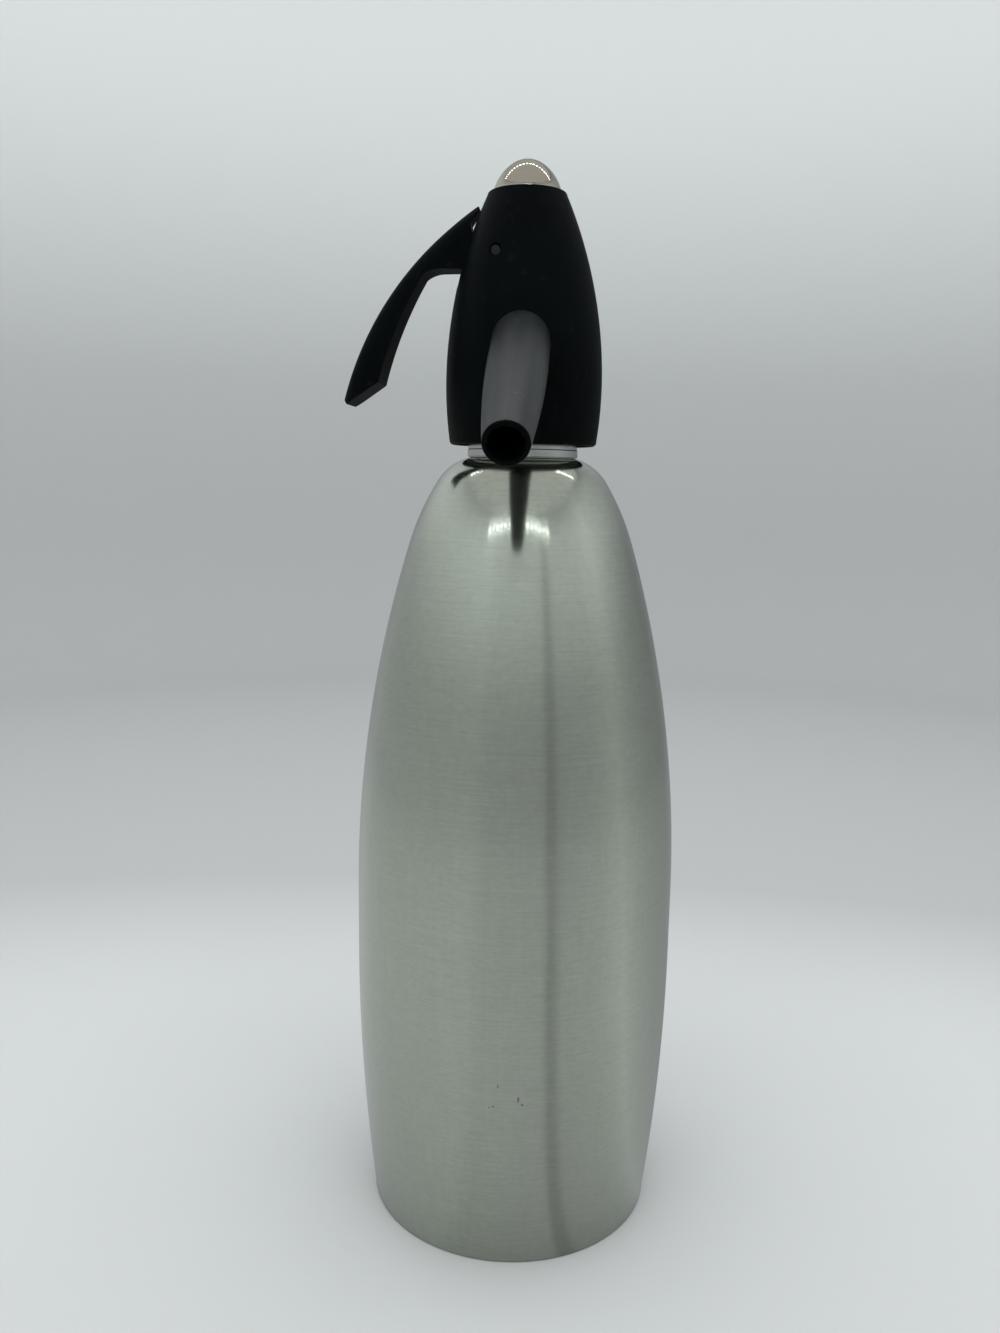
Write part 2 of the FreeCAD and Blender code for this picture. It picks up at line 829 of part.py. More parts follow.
# Valve spring: one open coil between the lift collar and the disc under the nose.
def make_spring():
    body = doc.addObject("PartDesign::Body", "coil")
    start = "collar_top + spring_wire / 2 + fit_clearance"
    reach = "retainer_bottom - collar_top - spring_wire - 2 * fit_clearance"
    profile = body.newObject("Sketcher::SketchObject", "wire_section")
    roles = {feature.Role: feature for feature in body.Origin.OriginFeatures}
    profile.AttachmentSupport = [(roles["XZ_Plane"], "")]
    profile.MapMode = "FlatFace"
    centre = FreeCAD.Vector(worth("spring_radius"), worth(start), 0)
    circle = Part.Circle(centre, FreeCAD.Vector(0, 0, 1), worth("spring_wire / 2"))
    profile.addGeometry(circle, False)
    hold(profile, 0, CENTRE, "DistanceX", "spring_radius")
    hold(profile, 0, CENTRE, "DistanceY", start)
    width = profile.addConstraint(Sketcher.Constraint("Radius", 0, worth("spring_wire / 2")))
    profile.setExpression(f"Constraints[{width}]", tie("spring_wire / 2"))
    coil = body.newObject("PartDesign::AdditiveHelix", "coil_turns")
    coil.Profile = profile
    coil.ReferenceAxis = (profile, ["V_Axis"])
    coil.Mode = "height-turns-angle"
    coil.setExpression("Height", tie(reach))
    coil.setExpression("Turns", tie("spring_turns"))
    body.Tip = coil
    node(body, "valve_spring")


def make_gland():
    bonnet = turned(
        "bonnet",
        [
            ("gland_bore", "gland_bottom"),
            ("chamber_radius - fit_clearance", "gland_bottom"),
            ("chamber_radius - fit_clearance", "core_top"),
            ("gland_flange_radius", "core_top"),
            ("gland_flange_radius", "gland_top"),
            ("groove_radius", "gland_top"),
            ("groove_radius", "groove_bottom"),
            ("gland_bore", "groove_bottom"),
        ],
    )
    node(bonnet, "gland_body")
    seal = doc.addObject("Part::Torus", "spindle_seal")
    seal.setExpression("Radius1", tie("ring_bore + ring_section"))
    seal.setExpression("Radius2", tie("ring_section"))
    place(seal, z="(groove_bottom + groove_top) / 2")
    node(seal, "spindle_o_ring")
    shank = rod("gland_shank", "groove_radius - fit_clearance", "gland_top - groove_top", z="groove_top")
    hexagon = doc.addObject("Part::Prism", "gland_hexagon")
    hexagon.Polygon = 6
    hexagon.setExpression("Circumradius", tie("nut_hex_radius"))
    hexagon.setExpression("Height", tie("nut_height"))
    place(hexagon, z="gland_top")
    blank = joined("gland_blank", [shank, hexagon])
    hole = rod("gland_hole", "gland_bore", "gland_top + 2 * nut_height - groove_bottom", z="groove_bottom")
    node(cut_by("gland_screw", blank, [hole]), "gland_nut")


def make_lever():
    whole = extruded(
        "lever_side",
        "XZ_Plane",
        [
            ("-(head_at_stop + horn_stop_gap)", "horn_stop_height"),
            ("-horn_reach", "horn_height", "horn_round"),
            ("-tip_reach", "tip_height", "leaf_curve"),
            ("-(tip_reach - toe_width)", "tip_height - toe_drop"),
            ("-(tip_reach - heel_width)", "tip_height + heel_rise"),
            ("-crook_reach", "crook_height", "palm_curve", -1),
            ("-web_reach", "pivot_height - hub_radius", "arch_curve", -1),
            ("-pivot_offset", "pivot_height - hub_radius"),
            ("-(pivot_offset - prong_run)", "pivot_height - pad_radius", "hub_radius"),
            ("0", "pivot_height - pad_radius"),
            ("pad_radius", "pivot_height", "pad_radius"),
            ("0", "pivot_height + pad_radius", "pad_radius"),
            ("-(pivot_offset - prong_run)", "pivot_height + pad_radius"),
            ("-pivot_offset", "pivot_height + hub_radius", "hub_radius"),
            ("-head_at_notch", "notch_bottom - slot_clearance"),
            ("-notch_reach", "notch_height"),
        ],
        "leaf_half_width",
    )
    widths = extruded_plan()
    blank = doc.addObject("Part::Common", "lever_blank")
    blank.Base = whole
    blank.Tool = widths
    doc.recompute()
    rounded = doc.addObject("Part::Fillet", "lever_rounded")
    rounded.Base = blank
    radius = worth("leaf_rounding")
    rounded.Edges = [(index, radius, radius) for index in outer_edges(blank.Shape)]
    doc.recompute()
    fork_gap = block(
        "fork_gap",
        "fork_depth + 2 * pad_radius",
        "2 * fork_half_gap",
        "4 * pad_radius",
        x="-fork_depth",
        y="-fork_half_gap",
        z="pivot_height - 2 * pad_radius",
    )
    bore = rod(
        "lever_bore",
        "pin_radius + fit_clearance",
        "4 * web_half_width",
        x="-pivot_offset",
        y="-2 * web_half_width",
        z="pivot_height",
        tilt="-90",
    )
    node(cut_by("lever_cut", rounded, [fork_gap, bore]), "lever")
    pin = rod(
        "hinge_pin",
        "pin_radius",
        "2 * pin_half_length",
        x="-pivot_offset",
        y="-pin_half_length",
        z="pivot_height",
        tilt="-90",
    )
    node(pin, "lever_pin")


def extruded_plan():
    """The lever's width seen from above: narrow in the slot, wider towards the tip."""
    wide = "leaf_half_width"
    narrow = "web_half_width"
    beyond = "tip_reach + toe_width"
    body = doc.addObject("PartDesign::Body", "lever_plan")
    sketch = outline(
        body,
        "lever_plan_outline",
        "XY_Plane",
        [
            ("2 * pad_radius", narrow),
            ("-leaf_start", narrow),
            ("-(" + beyond + ")", wide),
            ("-(" + beyond + ")", "-" + wide),
            ("-leaf_start", "-" + narrow),
            ("2 * pad_radius", "-" + narrow),
        ],
    )
    pad = body.newObject("PartDesign::Pad", "lever_plan_pad")
    pad.Profile = sketch
    pad.setExpression("Length", tie("rim_top + head_radius"))
    body.Tip = pad
    return body


def outer_edges(shape):
    """Numbers of the edges along both sides of the lever's outer curve."""
    start = FreeCAD.Vector(-worth("horn_reach"), 0, worth("horn_height"))
    end = FreeCAD.Vector(-worth("tip_reach"), 0, worth("tip_height"))
    flat_start = FreeCAD.Vector(start.x, start.z, 0)
    flat_end = FreeCAD.Vector(end.x, end.z, 0)
    centre = arc_between(flat_start, flat_end, worth("leaf_curve")).Center
    chosen = []
    for index, edge in enumerate(shape.Edges, start=1):
        spots = edge.discretize(5)
        if edge.Length < worth("leaf_rounding"):
            continue
        gaps = [abs(math.hypot(p.x - centre.x, p.z - centre.y) - worth("leaf_curve")) for p in spots]
        if max(gaps) < 1e-3 and min(abs(p.y) for p in spots) > worth("fork_half_gap"):
            chosen.append(index)
    return chosen


def make_spout():
    tube = turned(
        "tube",
        [
            ("spout_bore", "spigot_start"),
            ("spigot_radius", "spigot_start"),
            ("spigot_radius", "spigot_shoulder"),
            ("spout_radius", "spigot_shoulder"),
            ("spout_swell", "spout_swell_at"),
            ("spout_tip_radius", "spout_length", "spout_curve"),
            ("spout_mouth", "spout_length"),
            ("spout_bore", "spout_swell_at"),
        ],
        **ALONG_SPOUT,
    )
    node(tube, "spout")
    seal = ring("spout_ring", "spout_bore", "spigot_radius - fit_clearance",
                "spigot_start - spout_seal_thickness", "spigot_start", **ALONG_SPOUT)
    node(seal, "spout_seal")


def make_charger():
    port = turned(
        "port",
        [
            ("gas_hole", "port_start"),
            ("port_stem_radius", "port_start"),
            ("port_stem_radius", "port_flange_start"),
            ("port_radius", "port_flange_start"),
            ("port_radius", "port_end"),
            ("neck_room_radius", "port_end"),
            ("neck_room_radius", "neck_room_start"),
            ("pin_room_radius", "neck_room_start"),
            ("pin_room_radius", "pin_room_start"),
            ("gas_hole", "pin_room_start"),
            ("gas_hole", "ball_room_start + ball_room_length"),
            ("ball_room_radius", "ball_room_start + ball_room_length"),
            ("ball_room_radius", "ball_room_start"),
            ("gas_hole", "ball_room_start"),
        ],
        **BACKWARDS,
    )
    node(port, "charger_port")
    ball = doc.addObject("Part::Sphere", "gas_ball")
    ball.setExpression("Radius", tie("ball_radius"))
    seat = "ball_room_start + ball_room_length - sqrt(ball_radius^2 - gas_hole^2) - fit_clearance"
    place(ball, y=seat, z="charger_height")
    node(ball, "check_ball")
    needle = turned(
        "needle",
        [
            ("needle_bore", "pin_room_start"),
            ("pin_room_radius", "pin_room_start"),
            ("pin_room_radius", "pin_room_start + needle_base"),
            ("needle_radius", "pin_room_start + needle_base"),
            ("needle_radius", "needle_end - needle_point"),
            ("needle_bore", "needle_end"),
        ],
        **BACKWARDS,
    )
    node(needle, "piercing_pin")
    seal = ring("charger_washer", "bulb_pierced_radius", "neck_room_radius - fit_clearance",
                "neck_room_start", "bulb_start", **BACKWARDS)
    node(seal, "charger_seal")
    bulb = turned(
        "bulb",
        [
            ("bulb_pierced_radius", "bulb_start"),
            ("bulb_neck_radius", "bulb_start"),
            ("bulb_neck_radius", "bulb_start + bulb_neck_length"),
            ("bulb_radius", "bulb_start + bulb_neck_length + bulb_shoulder", "2 * bulb_shoulder"),
            ("bulb_radius", "bulb_end - bulb_radius"),
            ("0", "bulb_end", "bulb_radius"),
            ("0", "bulb_end - bulb_wall"),
            ("bulb_radius - bulb_wall", "bulb_end - bulb_radius", "bulb_radius - bulb_wall", -1),
            ("bulb_radius - bulb_wall", "bulb_start + bulb_neck_length + bulb_shoulder"),
            ("bulb_pierced_radius", "bulb_start + bulb_neck_length", "2 * bulb_shoulder", -1),
        ],
        **BACKWARDS,
    )
    node(bulb, "charger_bulb")
    sleeve = turned(
        "sleeve",
        [
            ("holder_bore", "holder_start"),
            ("holder_radius", "holder_start"),
            ("holder_radius", "holder_end - holder_round"),
            ("holder_radius - holder_round", "holder_end", "holder_round"),
            ("0", "holder_end"),
            ("0", "holder_floor"),
            ("holder_bore", "holder_floor"),
        ],
        **BACKWARDS,
    )
    node(sleeve, "charger_holder")


make_bottle()
make_neck_ring()
make_neck_joint()
make_core()
make_riser()
make_valve()
make_gland()
make_spring()
make_head_shell()
make_nose_cap()
make_lever()
make_spout()
make_charger()

doc.recompute()
for piece in doc.Objects:
    if "Invalid" in piece.State or "Error" in piece.State:
        raise RuntimeError(f"{piece.Label} is {piece.State}")
for piece in nodes:
    if piece.Shape.isNull() or not piece.Shape.isValid() or not piece.Shape.Solids:
        raise RuntimeError(f"{piece.Label} has no valid solid")

os.makedirs("parts", exist_ok=True)
for piece in nodes:
    piece.Shape.exportStep(f"parts/{piece.Label}.step")
    print(f"{piece.Label}: {len(piece.Shape.Solids)} solid, {piece.Shape.Volume:.1f} mm3")
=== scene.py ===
# %% [markdown]
# # A soda siphon
# The siphon is a tall steel bottle, brushed all the way round, with a black plastic
# head screwed to its neck. A curved lever lifts the valve, a slanting spout pours the
# soda, and a holder at the back takes the gas charger.
#
# The CAD model is the fixed frame of this scene. It gives every place and size, so the
# work here is in finer surfaces, small edges, finishes and light.

# %% Load the fixed frame
import json
import math

import bmesh
import bpy
from mathutils import Matrix, Vector


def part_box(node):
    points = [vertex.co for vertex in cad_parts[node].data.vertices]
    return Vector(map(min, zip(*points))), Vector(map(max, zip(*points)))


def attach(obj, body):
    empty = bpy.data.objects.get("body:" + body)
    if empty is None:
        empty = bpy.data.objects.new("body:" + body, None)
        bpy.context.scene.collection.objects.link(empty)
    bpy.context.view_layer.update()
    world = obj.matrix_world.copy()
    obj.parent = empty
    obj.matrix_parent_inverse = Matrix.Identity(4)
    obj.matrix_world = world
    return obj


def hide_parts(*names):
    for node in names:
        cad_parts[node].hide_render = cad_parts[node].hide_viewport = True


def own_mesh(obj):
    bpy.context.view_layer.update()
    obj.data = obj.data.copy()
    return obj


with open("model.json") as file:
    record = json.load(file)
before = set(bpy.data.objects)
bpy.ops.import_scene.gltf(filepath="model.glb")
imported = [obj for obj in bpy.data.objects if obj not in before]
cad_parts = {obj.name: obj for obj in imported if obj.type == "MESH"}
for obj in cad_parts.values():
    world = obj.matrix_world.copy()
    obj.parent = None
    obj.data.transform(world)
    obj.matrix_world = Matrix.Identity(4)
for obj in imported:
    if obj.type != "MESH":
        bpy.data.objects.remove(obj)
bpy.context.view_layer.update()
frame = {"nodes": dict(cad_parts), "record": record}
nodes = frame["nodes"]
MM = 0.001

# %% [markdown]
# ## Two helpers for node trees
# Geometry and shader trees are built in the same way: add a node, set its options, and
# fill its inputs with numbers or with the outputs of earlier nodes. One helper does
# this for any node. The other one is for the Math node, which is used most.


# %% Helpers for node trees
def add(tree, kind, fill=None, **options):
    """Add a node. fill gives its inputs, by name or number, as values or outputs."""
    made = tree.nodes.new(kind)
    for option, value in options.items():
        setattr(made, option, value)
    for key, value in (fill or {}).items():
        if isinstance(value, bpy.types.NodeSocket):
            tree.links.new(value, made.inputs[key])
        else:
            made.inputs[key].default_value = value
    return made


def maths(tree, operation, *values):
    """One step of arithmetic on numbers or outputs."""
    step = add(tree, "ShaderNodeMath", dict(enumerate(values)), operation=operation)
    return step.outputs[0]


def new_tree(kind, name, inputs, outputs):
    """A node tree with named inputs (name, type, value) and outputs (name, type)."""
    tree = bpy.data.node_groups.new(name, kind)
    for label, socket_type, value in inputs:
        socket = tree.interface.new_socket(label, in_out="INPUT", socket_type=socket_type)
        if value is not None:
            socket.default_value = value
    for label, socket_type in outputs:
        tree.interface.new_socket(label, in_out="OUTPUT", socket_type=socket_type)
    return tree, tree.nodes.new("NodeGroupInput"), tree.nodes.new("NodeGroupOutput")


# %% [markdown]
# ## Effects that several finishes share
# Each effect is a shader node group with its own named inputs, built once. A group
# gives out only masks, values and heights. The shader itself stays in each material.
#
# * `streaks` draws fine lines by stretching a noise along two axes.
# * `mould_grain` is the fine eggshell surface that a spark-eroded mould leaves.
# * `speckle` scatters small dots of dust or pitting.
# * `smudge` is a broad soft change, as wiping and handling leave.
# * `mark` is one small worn spot at a chosen place.
#
# `Scale`, `Stretch` and `Break` count waves of noise in a metre, so 1000 gives detail
# of about a millimetre.

# %% Shared shader groups
FLOAT, VECTOR = "NodeSocketFloat", "NodeSocketVector"


def group(name, inputs, output):
    """A shader group with one output, and the Object coordinates that it reads."""
    tree, entry, end = new_tree("ShaderNodeTree", name, inputs, [(output, FLOAT)])
    place = tree.nodes.new("ShaderNodeTexCoord").outputs["Object"]
    return tree, entry.outputs, end.inputs, place


def noise_at(tree, place, scale, detail, roughness=0.5):
    """A noise on Object coordinates, with its scale given per metre."""
    fill = {"Vector": place, "Scale": scale, "Detail": detail, "Roughness": roughness}
    return add(tree, "ShaderNodeTexNoise", fill).outputs["Fac"]


def ramp(tree, value, low, high, bottom=0.0, top=1.0):
    """Carry a value from low..high to bottom..top, smoothly and within those limits."""
    fill = {"Value": value, "From Min": low, "From Max": high, "To Min": bottom, "To Max": top}
    return add(tree, "ShaderNodeMapRange", fill, interpolation_type="SMOOTHSTEP").outputs["Result"]


def make_streaks():
    inputs = [("Stretch", VECTOR, (1, 1, 1)), ("Detail", FLOAT, 3.0)]
    tree, given, end, place = group("streaks", inputs, "Value")
    stretched = add(tree, "ShaderNodeVectorMath", {0: place, 1: given["Stretch"]}, operation="MULTIPLY")
    noise = noise_at(tree, stretched.outputs["Vector"], 1.0, given["Detail"], 0.6)
    tree.links.new(noise, end["Value"])
    return tree


def make_mould_grain():
    inputs = [("Scale", FLOAT, 2500.0)]
    tree, given, end, place = group("mould_grain", inputs, "Height")
    fine = noise_at(tree, place, given["Scale"], 2.0)
    coarse = noise_at(tree, place, maths(tree, "MULTIPLY", given["Scale"], 0.3), 1.0)
    tree.links.new(maths(tree, "MULTIPLY_ADD", coarse, 0.6, fine), end["Height"])
    return tree


def make_speckle():
    inputs = [("Scale", FLOAT, 300.0), ("Size", FLOAT, 0.12), ("Share", FLOAT, 0.2)]
    tree, given, end, place = group("speckle", inputs, "Mask")
    cells = add(tree, "ShaderNodeTexVoronoi", {"Vector": place, "Scale": given["Scale"]})
    chosen = add(tree, "ShaderNodeSeparateColor", {0: cells.outputs["Color"]}).outputs[0]
    limit = maths(tree, "MULTIPLY", given["Size"], maths(tree, "DIVIDE", chosen, given["Share"]))
    near = ramp(tree, cells.outputs["Distance"], maths(tree, "MULTIPLY", limit, 0.6), limit, 1.0, 0.0)
    kept = maths(tree, "LESS_THAN", chosen, given["Share"])
    tree.links.new(maths(tree, "MULTIPLY", near, kept), end["Mask"])
    return tree


def make_smudge():
    inputs = [("Scale", FLOAT, 30.0), ("Low", FLOAT, 0.4), ("High", FLOAT, 0.7)]
    tree, given, end, place = group("smudge", inputs, "Mask")
    broad = noise_at(tree, place, given["Scale"], 3.0, 0.55)
    tree.links.new(ramp(tree, broad, given["Low"], given["High"]), end["Mask"])
    return tree


def make_mark():
    inputs = [("Place", VECTOR, (0, 0, 0)), ("Size", VECTOR, (1, 1, 1)), ("Break", FLOAT, 2000.0)]
    tree, given, end, place = group("mark", inputs, "Mask")
    offset = add(tree, "ShaderNodeVectorMath", {0: place, 1: given["Place"]}, operation="SUBTRACT")
    scaled = add(
        tree, "ShaderNodeVectorMath", {0: offset.outputs[0], 1: given["Size"]}, operation="DIVIDE"
    )
    far = add(tree, "ShaderNodeVectorMath", {0: scaled.outputs[0]}, operation="LENGTH").outputs["Value"]
    ragged = maths(tree, "MULTIPLY_ADD", noise_at(tree, place, given["Break"], 2.0), 1.2, far)
    tree.links.new(ramp(tree, ragged, 0.75, 1.25, 1.0, 0.0), end["Mask"])
    return tree


GROUPS = {
    "streaks": make_streaks(),
    "mould_grain": make_mould_grain(),
    "speckle": make_speckle(),
    "smudge": make_smudge(),
    "mark": make_mark(),
}
print("shader groups:", ", ".join(GROUPS))

# %% [markdown]
# ## A material and its parts
# Every finish is one Principled shader. Numbers that are the same all over the surface
# are set on the shader itself. Colour, roughness and bump change over the surface, so
# they come from the groups above. Small helpers mix tones and add the groups.


# %% Helpers for materials
def new_material(name, **settings):
    """A Principled material. Settings are its plain values, by socket name."""
    material = bpy.data.materials.new(name)
    material.use_nodes = True
    shader = material.node_tree.nodes["Principled BSDF"]
    for label, value in settings.items():
        shader.inputs[label.replace("_", " ")].default_value = value
    return material, material.node_tree, shader.inputs


def effect(tree, name, **fill):
    """Place a shared group and return its one output."""
    made = tree.nodes.new("ShaderNodeGroup")
    made.node_tree = GROUPS[name]
    for label, value in fill.items():
        if isinstance(value, bpy.types.NodeSocket):
            tree.links.new(value, made.inputs[label])
        else:
            made.inputs[label].default_value = value
    return made.outputs[0]


def blend_colours(tree, share, first, second):
    """Mix two colours by a share that is a value or an output."""
    mixed = tree.nodes.new("ShaderNodeMix")
    mixed.data_type = "RGBA"
    for index, value in ((0, share), (6, first), (7, second)):
        if isinstance(value, bpy.types.NodeSocket):
            tree.links.new(value, mixed.inputs[index])
        else:
            mixed.inputs[index].default_value = (*value, 1.0) if index > 0 else value
    return mixed.outputs[2]


def bump(tree, shader, height, distance, strength=1.0):
    """Raise the surface by a height times a distance in metres."""
    made = add(tree, "ShaderNodeBump", {"Height": height, "Distance": distance, "Strength": strength})
    tree.links.new(made.outputs["Normal"], shader["Normal"])


def total(tree, *terms):
    """Add up outputs that are each weighted: (output, weight), and one plain number."""
    result = terms[-1]
    for value, weight in terms[:-1]:
        result = maths(tree, "MULTIPLY_ADD", value, weight, result)
    return result


# %% [markdown]
# ## Brushed steel
# The bottle was ground with a belt while it turned, so its fine lines run round it.
# Such a surface spreads a reflection across the lines: up and down here, while it stays
# crisp from side to side. The shader's anisotropy does this, with its direction set by
# a tangent that runs round the Z axis. A thin coat over it keeps the small glints of
# the diodes sharp. Stretched noise draws long lines, short lines, a fine grain and
# faint upright drag marks, and a few dark nicks sit low on the front.

# %% Brushed steel for the bottle
# Each nick has its place on the front of the bottle and its half sizes, in metres.
NICKS = [
    ((-0.0010, -0.0474, 0.0573), (0.0006, 0.004, 0.0011)),
    ((-0.0022, -0.0473, 0.0512), (0.0007, 0.004, 0.0006)),
    ((-0.0034, -0.0473, 0.0508), (0.0005, 0.004, 0.0005)),
    ((0.0047, -0.0473, 0.0535), (0.0005, 0.004, 0.0022)),
    ((0.0058, -0.0472, 0.0520), (0.0005, 0.004, 0.0009)),
]
STEEL_DARK, STEEL_LIGHT = (0.46, 0.50, 0.425), (0.60, 0.65, 0.555)
STEEL_WIPED, STEEL_PITTED = (0.62, 0.62, 0.60), (0.10, 0.10, 0.09)
BRUSH_DEPTH = 0.012 * MM


def make_bottle_steel():
    material, tree, shader = new_material(
        "brushed_bottle_steel",
        Metallic=1.0,
        Anisotropic=0.6,
        Anisotropic_Rotation=0.25,
        Coat_Weight=1.0,
        Coat_Roughness=0.04,
    )
    long_lines = effect(tree, "streaks", Stretch=(30, 30, 5200), Detail=3.0)
    short_lines = effect(tree, "streaks", Stretch=(75, 75, 2600), Detail=2.0)
    grain = effect(tree, "streaks", Stretch=(420, 420, 1100), Detail=4.0)
    drag = effect(tree, "streaks", Stretch=(700, 700, 40), Detail=3.0)
    cloud = effect(tree, "smudge", Scale=28.0, Low=0.35, High=0.7)
    tone = total(tree, (long_lines, 0.8), (short_lines, 0.8), (grain, 1.1), (drag, 0.5), -1.1)
    steel = blend_colours(tree, tone, STEEL_DARK, STEEL_LIGHT)
    steel = blend_colours(tree, maths(tree, "MULTIPLY", cloud, 0.12), steel, STEEL_WIPED)
    worn = 0.0
    for place, size in NICKS:
        spot = effect(tree, "mark", Place=place, Size=size, Break=1500.0)
        worn = maths(tree, "MAXIMUM", spot, worn)
    pits = effect(tree, "speckle", Scale=120.0, Size=0.05, Share=0.06)
    worn = maths(tree, "MAXIMUM", worn, maths(tree, "MULTIPLY", pits, 0.5))
    steel = blend_colours(tree, maths(tree, "MULTIPLY", worn, 0.75), steel, STEEL_PITTED)
    tree.links.new(steel, shader["Base Color"])
    rough = total(tree, (short_lines, 0.05), (cloud, 0.03), (worn, 0.2), 0.12)
    tree.links.new(rough, shader["Roughness"])
    tangent = add(tree, "ShaderNodeTangent", direction_type="RADIAL", axis="Z")
    tree.links.new(tangent.outputs[0], shader["Tangent"])
    height = total(tree, (long_lines, 0.5), (short_lines, 0.3), (worn, -4.0), 0.0)
    bump(tree, shader, height, BRUSH_DEPTH, 0.5)
    return material


# %% [markdown]
# ## Plastics, chrome, brass, rubber and the rest
# The head and lever share a black satin plastic with a fine mould grain. The spout was
# handled more: it is greyer, and pale scuffs streak it. The metals differ
# in colour and in their lines. What sits inside the head is seen only when it is lifted
# off the bottle, but each piece still gets the finish of its real material.


# %% Plastics
MOULD_GRAIN, MOULD_DEPTH = 2600.0, 0.02 * MM


def make_plastic(name, low, high, roughness, specular, scuff):
    """A moulded plastic: two tones, satin grain, and pale scuffs by their share."""
    material, tree, shader = new_material(name, Specular_IOR_Level=specular)
    cloud = effect(tree, "smudge", Scale=45.0, Low=0.3, High=0.75)
    dust = effect(tree, "speckle", Scale=420.0, Size=0.09, Share=0.05)
    rub = effect(tree, "streaks", Stretch=(260, 700, 260), Detail=4.0)
    scuffed = maths(tree, "MULTIPLY", ramp(tree, rub, 0.60, 0.74), scuff)
    tone = blend_colours(tree, cloud, low, high)
    pale = tuple(0.25 + 0.4 * channel for channel in high)
    dusted = maths(tree, "MULTIPLY", dust, scuff)
    tone = blend_colours(tree, maths(tree, "MAXIMUM", scuffed, dusted), tone, pale)
    tree.links.new(tone, shader["Base Color"])
    grained = effect(tree, "mould_grain", Scale=MOULD_GRAIN)
    rough = total(tree, (cloud, 0.06), (scuffed, 0.25), (grained, 0.05), roughness - 0.06)
    tree.links.new(rough, shader["Roughness"])
    bump(tree, shader, grained, MOULD_DEPTH, 0.35)
    return material


# %% Metals
TOOL_DEPTH = 0.004 * MM


def make_metal(name, dark, light, roughness, lines, anisotropic=0.0):
    """A bare or plated metal with tooling lines, given as noise stretches per metre."""
    material, tree, shader = new_material(name, Metallic=1.0, Anisotropic=anisotropic)
    tooled = effect(tree, "streaks", Stretch=lines, Detail=2.0)
    cloud = effect(tree, "smudge", Scale=80.0, Low=0.35, High=0.7)
    tone = total(tree, (tooled, 0.7), (cloud, 0.3), 0.0)
    tree.links.new(blend_colours(tree, tone, dark, light), shader["Base Color"])
    tree.links.new(total(tree, (tooled, 0.08), (cloud, 0.05), roughness - 0.05), shader["Roughness"])
    bump(tree, shader, tooled, TOOL_DEPTH, 0.5)
    return material


# %% Rubber and the milky tube
def make_rubber():
    material, tree, shader = new_material("seal_rubber_finish", Specular_IOR_Level=0.3)
    bloom = effect(tree, "smudge", Scale=160.0, Low=0.4, High=0.8)
    rubber = blend_colours(tree, bloom, (0.012, 0.012, 0.012), (0.035, 0.035, 0.034))
    tree.links.new(rubber, shader["Base Color"])
    tree.links.new(total(tree, (bloom, 0.15), 0.6), shader["Roughness"])
    bump(tree, shader, effect(tree, "mould_grain", Scale=1800.0), MOULD_DEPTH, 0.4)
    return material


def make_tube_plastic():
    material, tree, shader = new_material("milky_tube_plastic", Specular_IOR_Level=0.5)
    flow = effect(tree, "streaks", Stretch=(900, 900, 25), Detail=2.0)
    milk = blend_colours(tree, flow, (0.70, 0.72, 0.70), (0.84, 0.85, 0.82))
    tree.links.new(milk, shader["Base Color"])
    tree.links.new(total(tree, (flow, 0.15), 0.25), shader["Roughness"])
    bump(tree, shader, flow, MOULD_DEPTH, 0.3)
    return material


# %% All the finishes
# A plastic has two tones, its roughness, its specular level and its share of scuffs. A
# metal has two tones, its roughness, how often its tooling lines repeat along X, Y and Z,
# and its anisotropy where it has any.
BLACK = dict(low=(0.0006, 0.0016, 0.0018), high=(0.0014, 0.0030, 0.0034))
GREY = dict(low=(0.0065, 0.0085, 0.0090), high=(0.0110, 0.0140, 0.0145))
WHITE = dict(low=(0.66, 0.66, 0.63), high=(0.76, 0.76, 0.73))
PLASTICS = {
    "black_plastic": dict(name="black_head_plastic", **BLACK, roughness=0.5, specular=0.05, scuff=0.02),
    "spout_plastic": dict(name="grey_spout_plastic", **GREY, roughness=0.38, specular=0.62, scuff=0.12),
    "core_plastic": dict(name="white_core_plastic", **WHITE, roughness=0.4, specular=0.5, scuff=0.0),
}
METALS = {
    "neck_steel": (
        "turned_neck_steel", (0.52, 0.54, 0.52), (0.74, 0.76, 0.73), 0.22, (60, 60, 5000), 0.5
    ),
    "brass": ("machined_brass", (0.58, 0.42, 0.18), (0.74, 0.57, 0.28), 0.3, (120, 120, 4000)),
    "spring_steel": ("spring_wire", (0.45, 0.45, 0.45), (0.62, 0.62, 0.62), 0.3, (700, 700, 700)),
    "nose_chrome": ("nose_chrome_plate", (0.50, 0.47, 0.39), (0.58, 0.55, 0.46), 0.06, (90, 90, 900)),
    "pin_steel": (
        "blackened_pin_steel", (0.030, 0.030, 0.032), (0.055, 0.055, 0.058), 0.3, (3000, 60, 3000)
    ),
    "bulb_steel": ("charger_bulb_steel", (0.48, 0.50, 0.52), (0.62, 0.64, 0.66), 0.32, (90, 40, 90)),
    # The collar's brass is darkened to near black, as painted shade.
    "shaded_collar": (
        "shaded_collar_brass", (0.05, 0.05, 0.045), (0.09, 0.09, 0.08), 0.45, (120, 120, 4000)
    ),
}
finish = {
    "bottle_steel": make_bottle_steel(),
    "tube_plastic": make_tube_plastic(),
    "seal_rubber": make_rubber(),
}
finish |= {slot_name: make_plastic(**values) for slot_name, values in PLASTICS.items()}
finish |= {slot_name: make_metal(*values) for slot_name, values in METALS.items()}
slot_of = {part["node"]: part["material_slot"] for part in frame["record"]["subparts"]}
for name, slot_name in slot_of.items():
    cad_mesh = nodes[name].data
    cad_mesh.materials.clear()
    cad_mesh.materials.append(finish[slot_name])
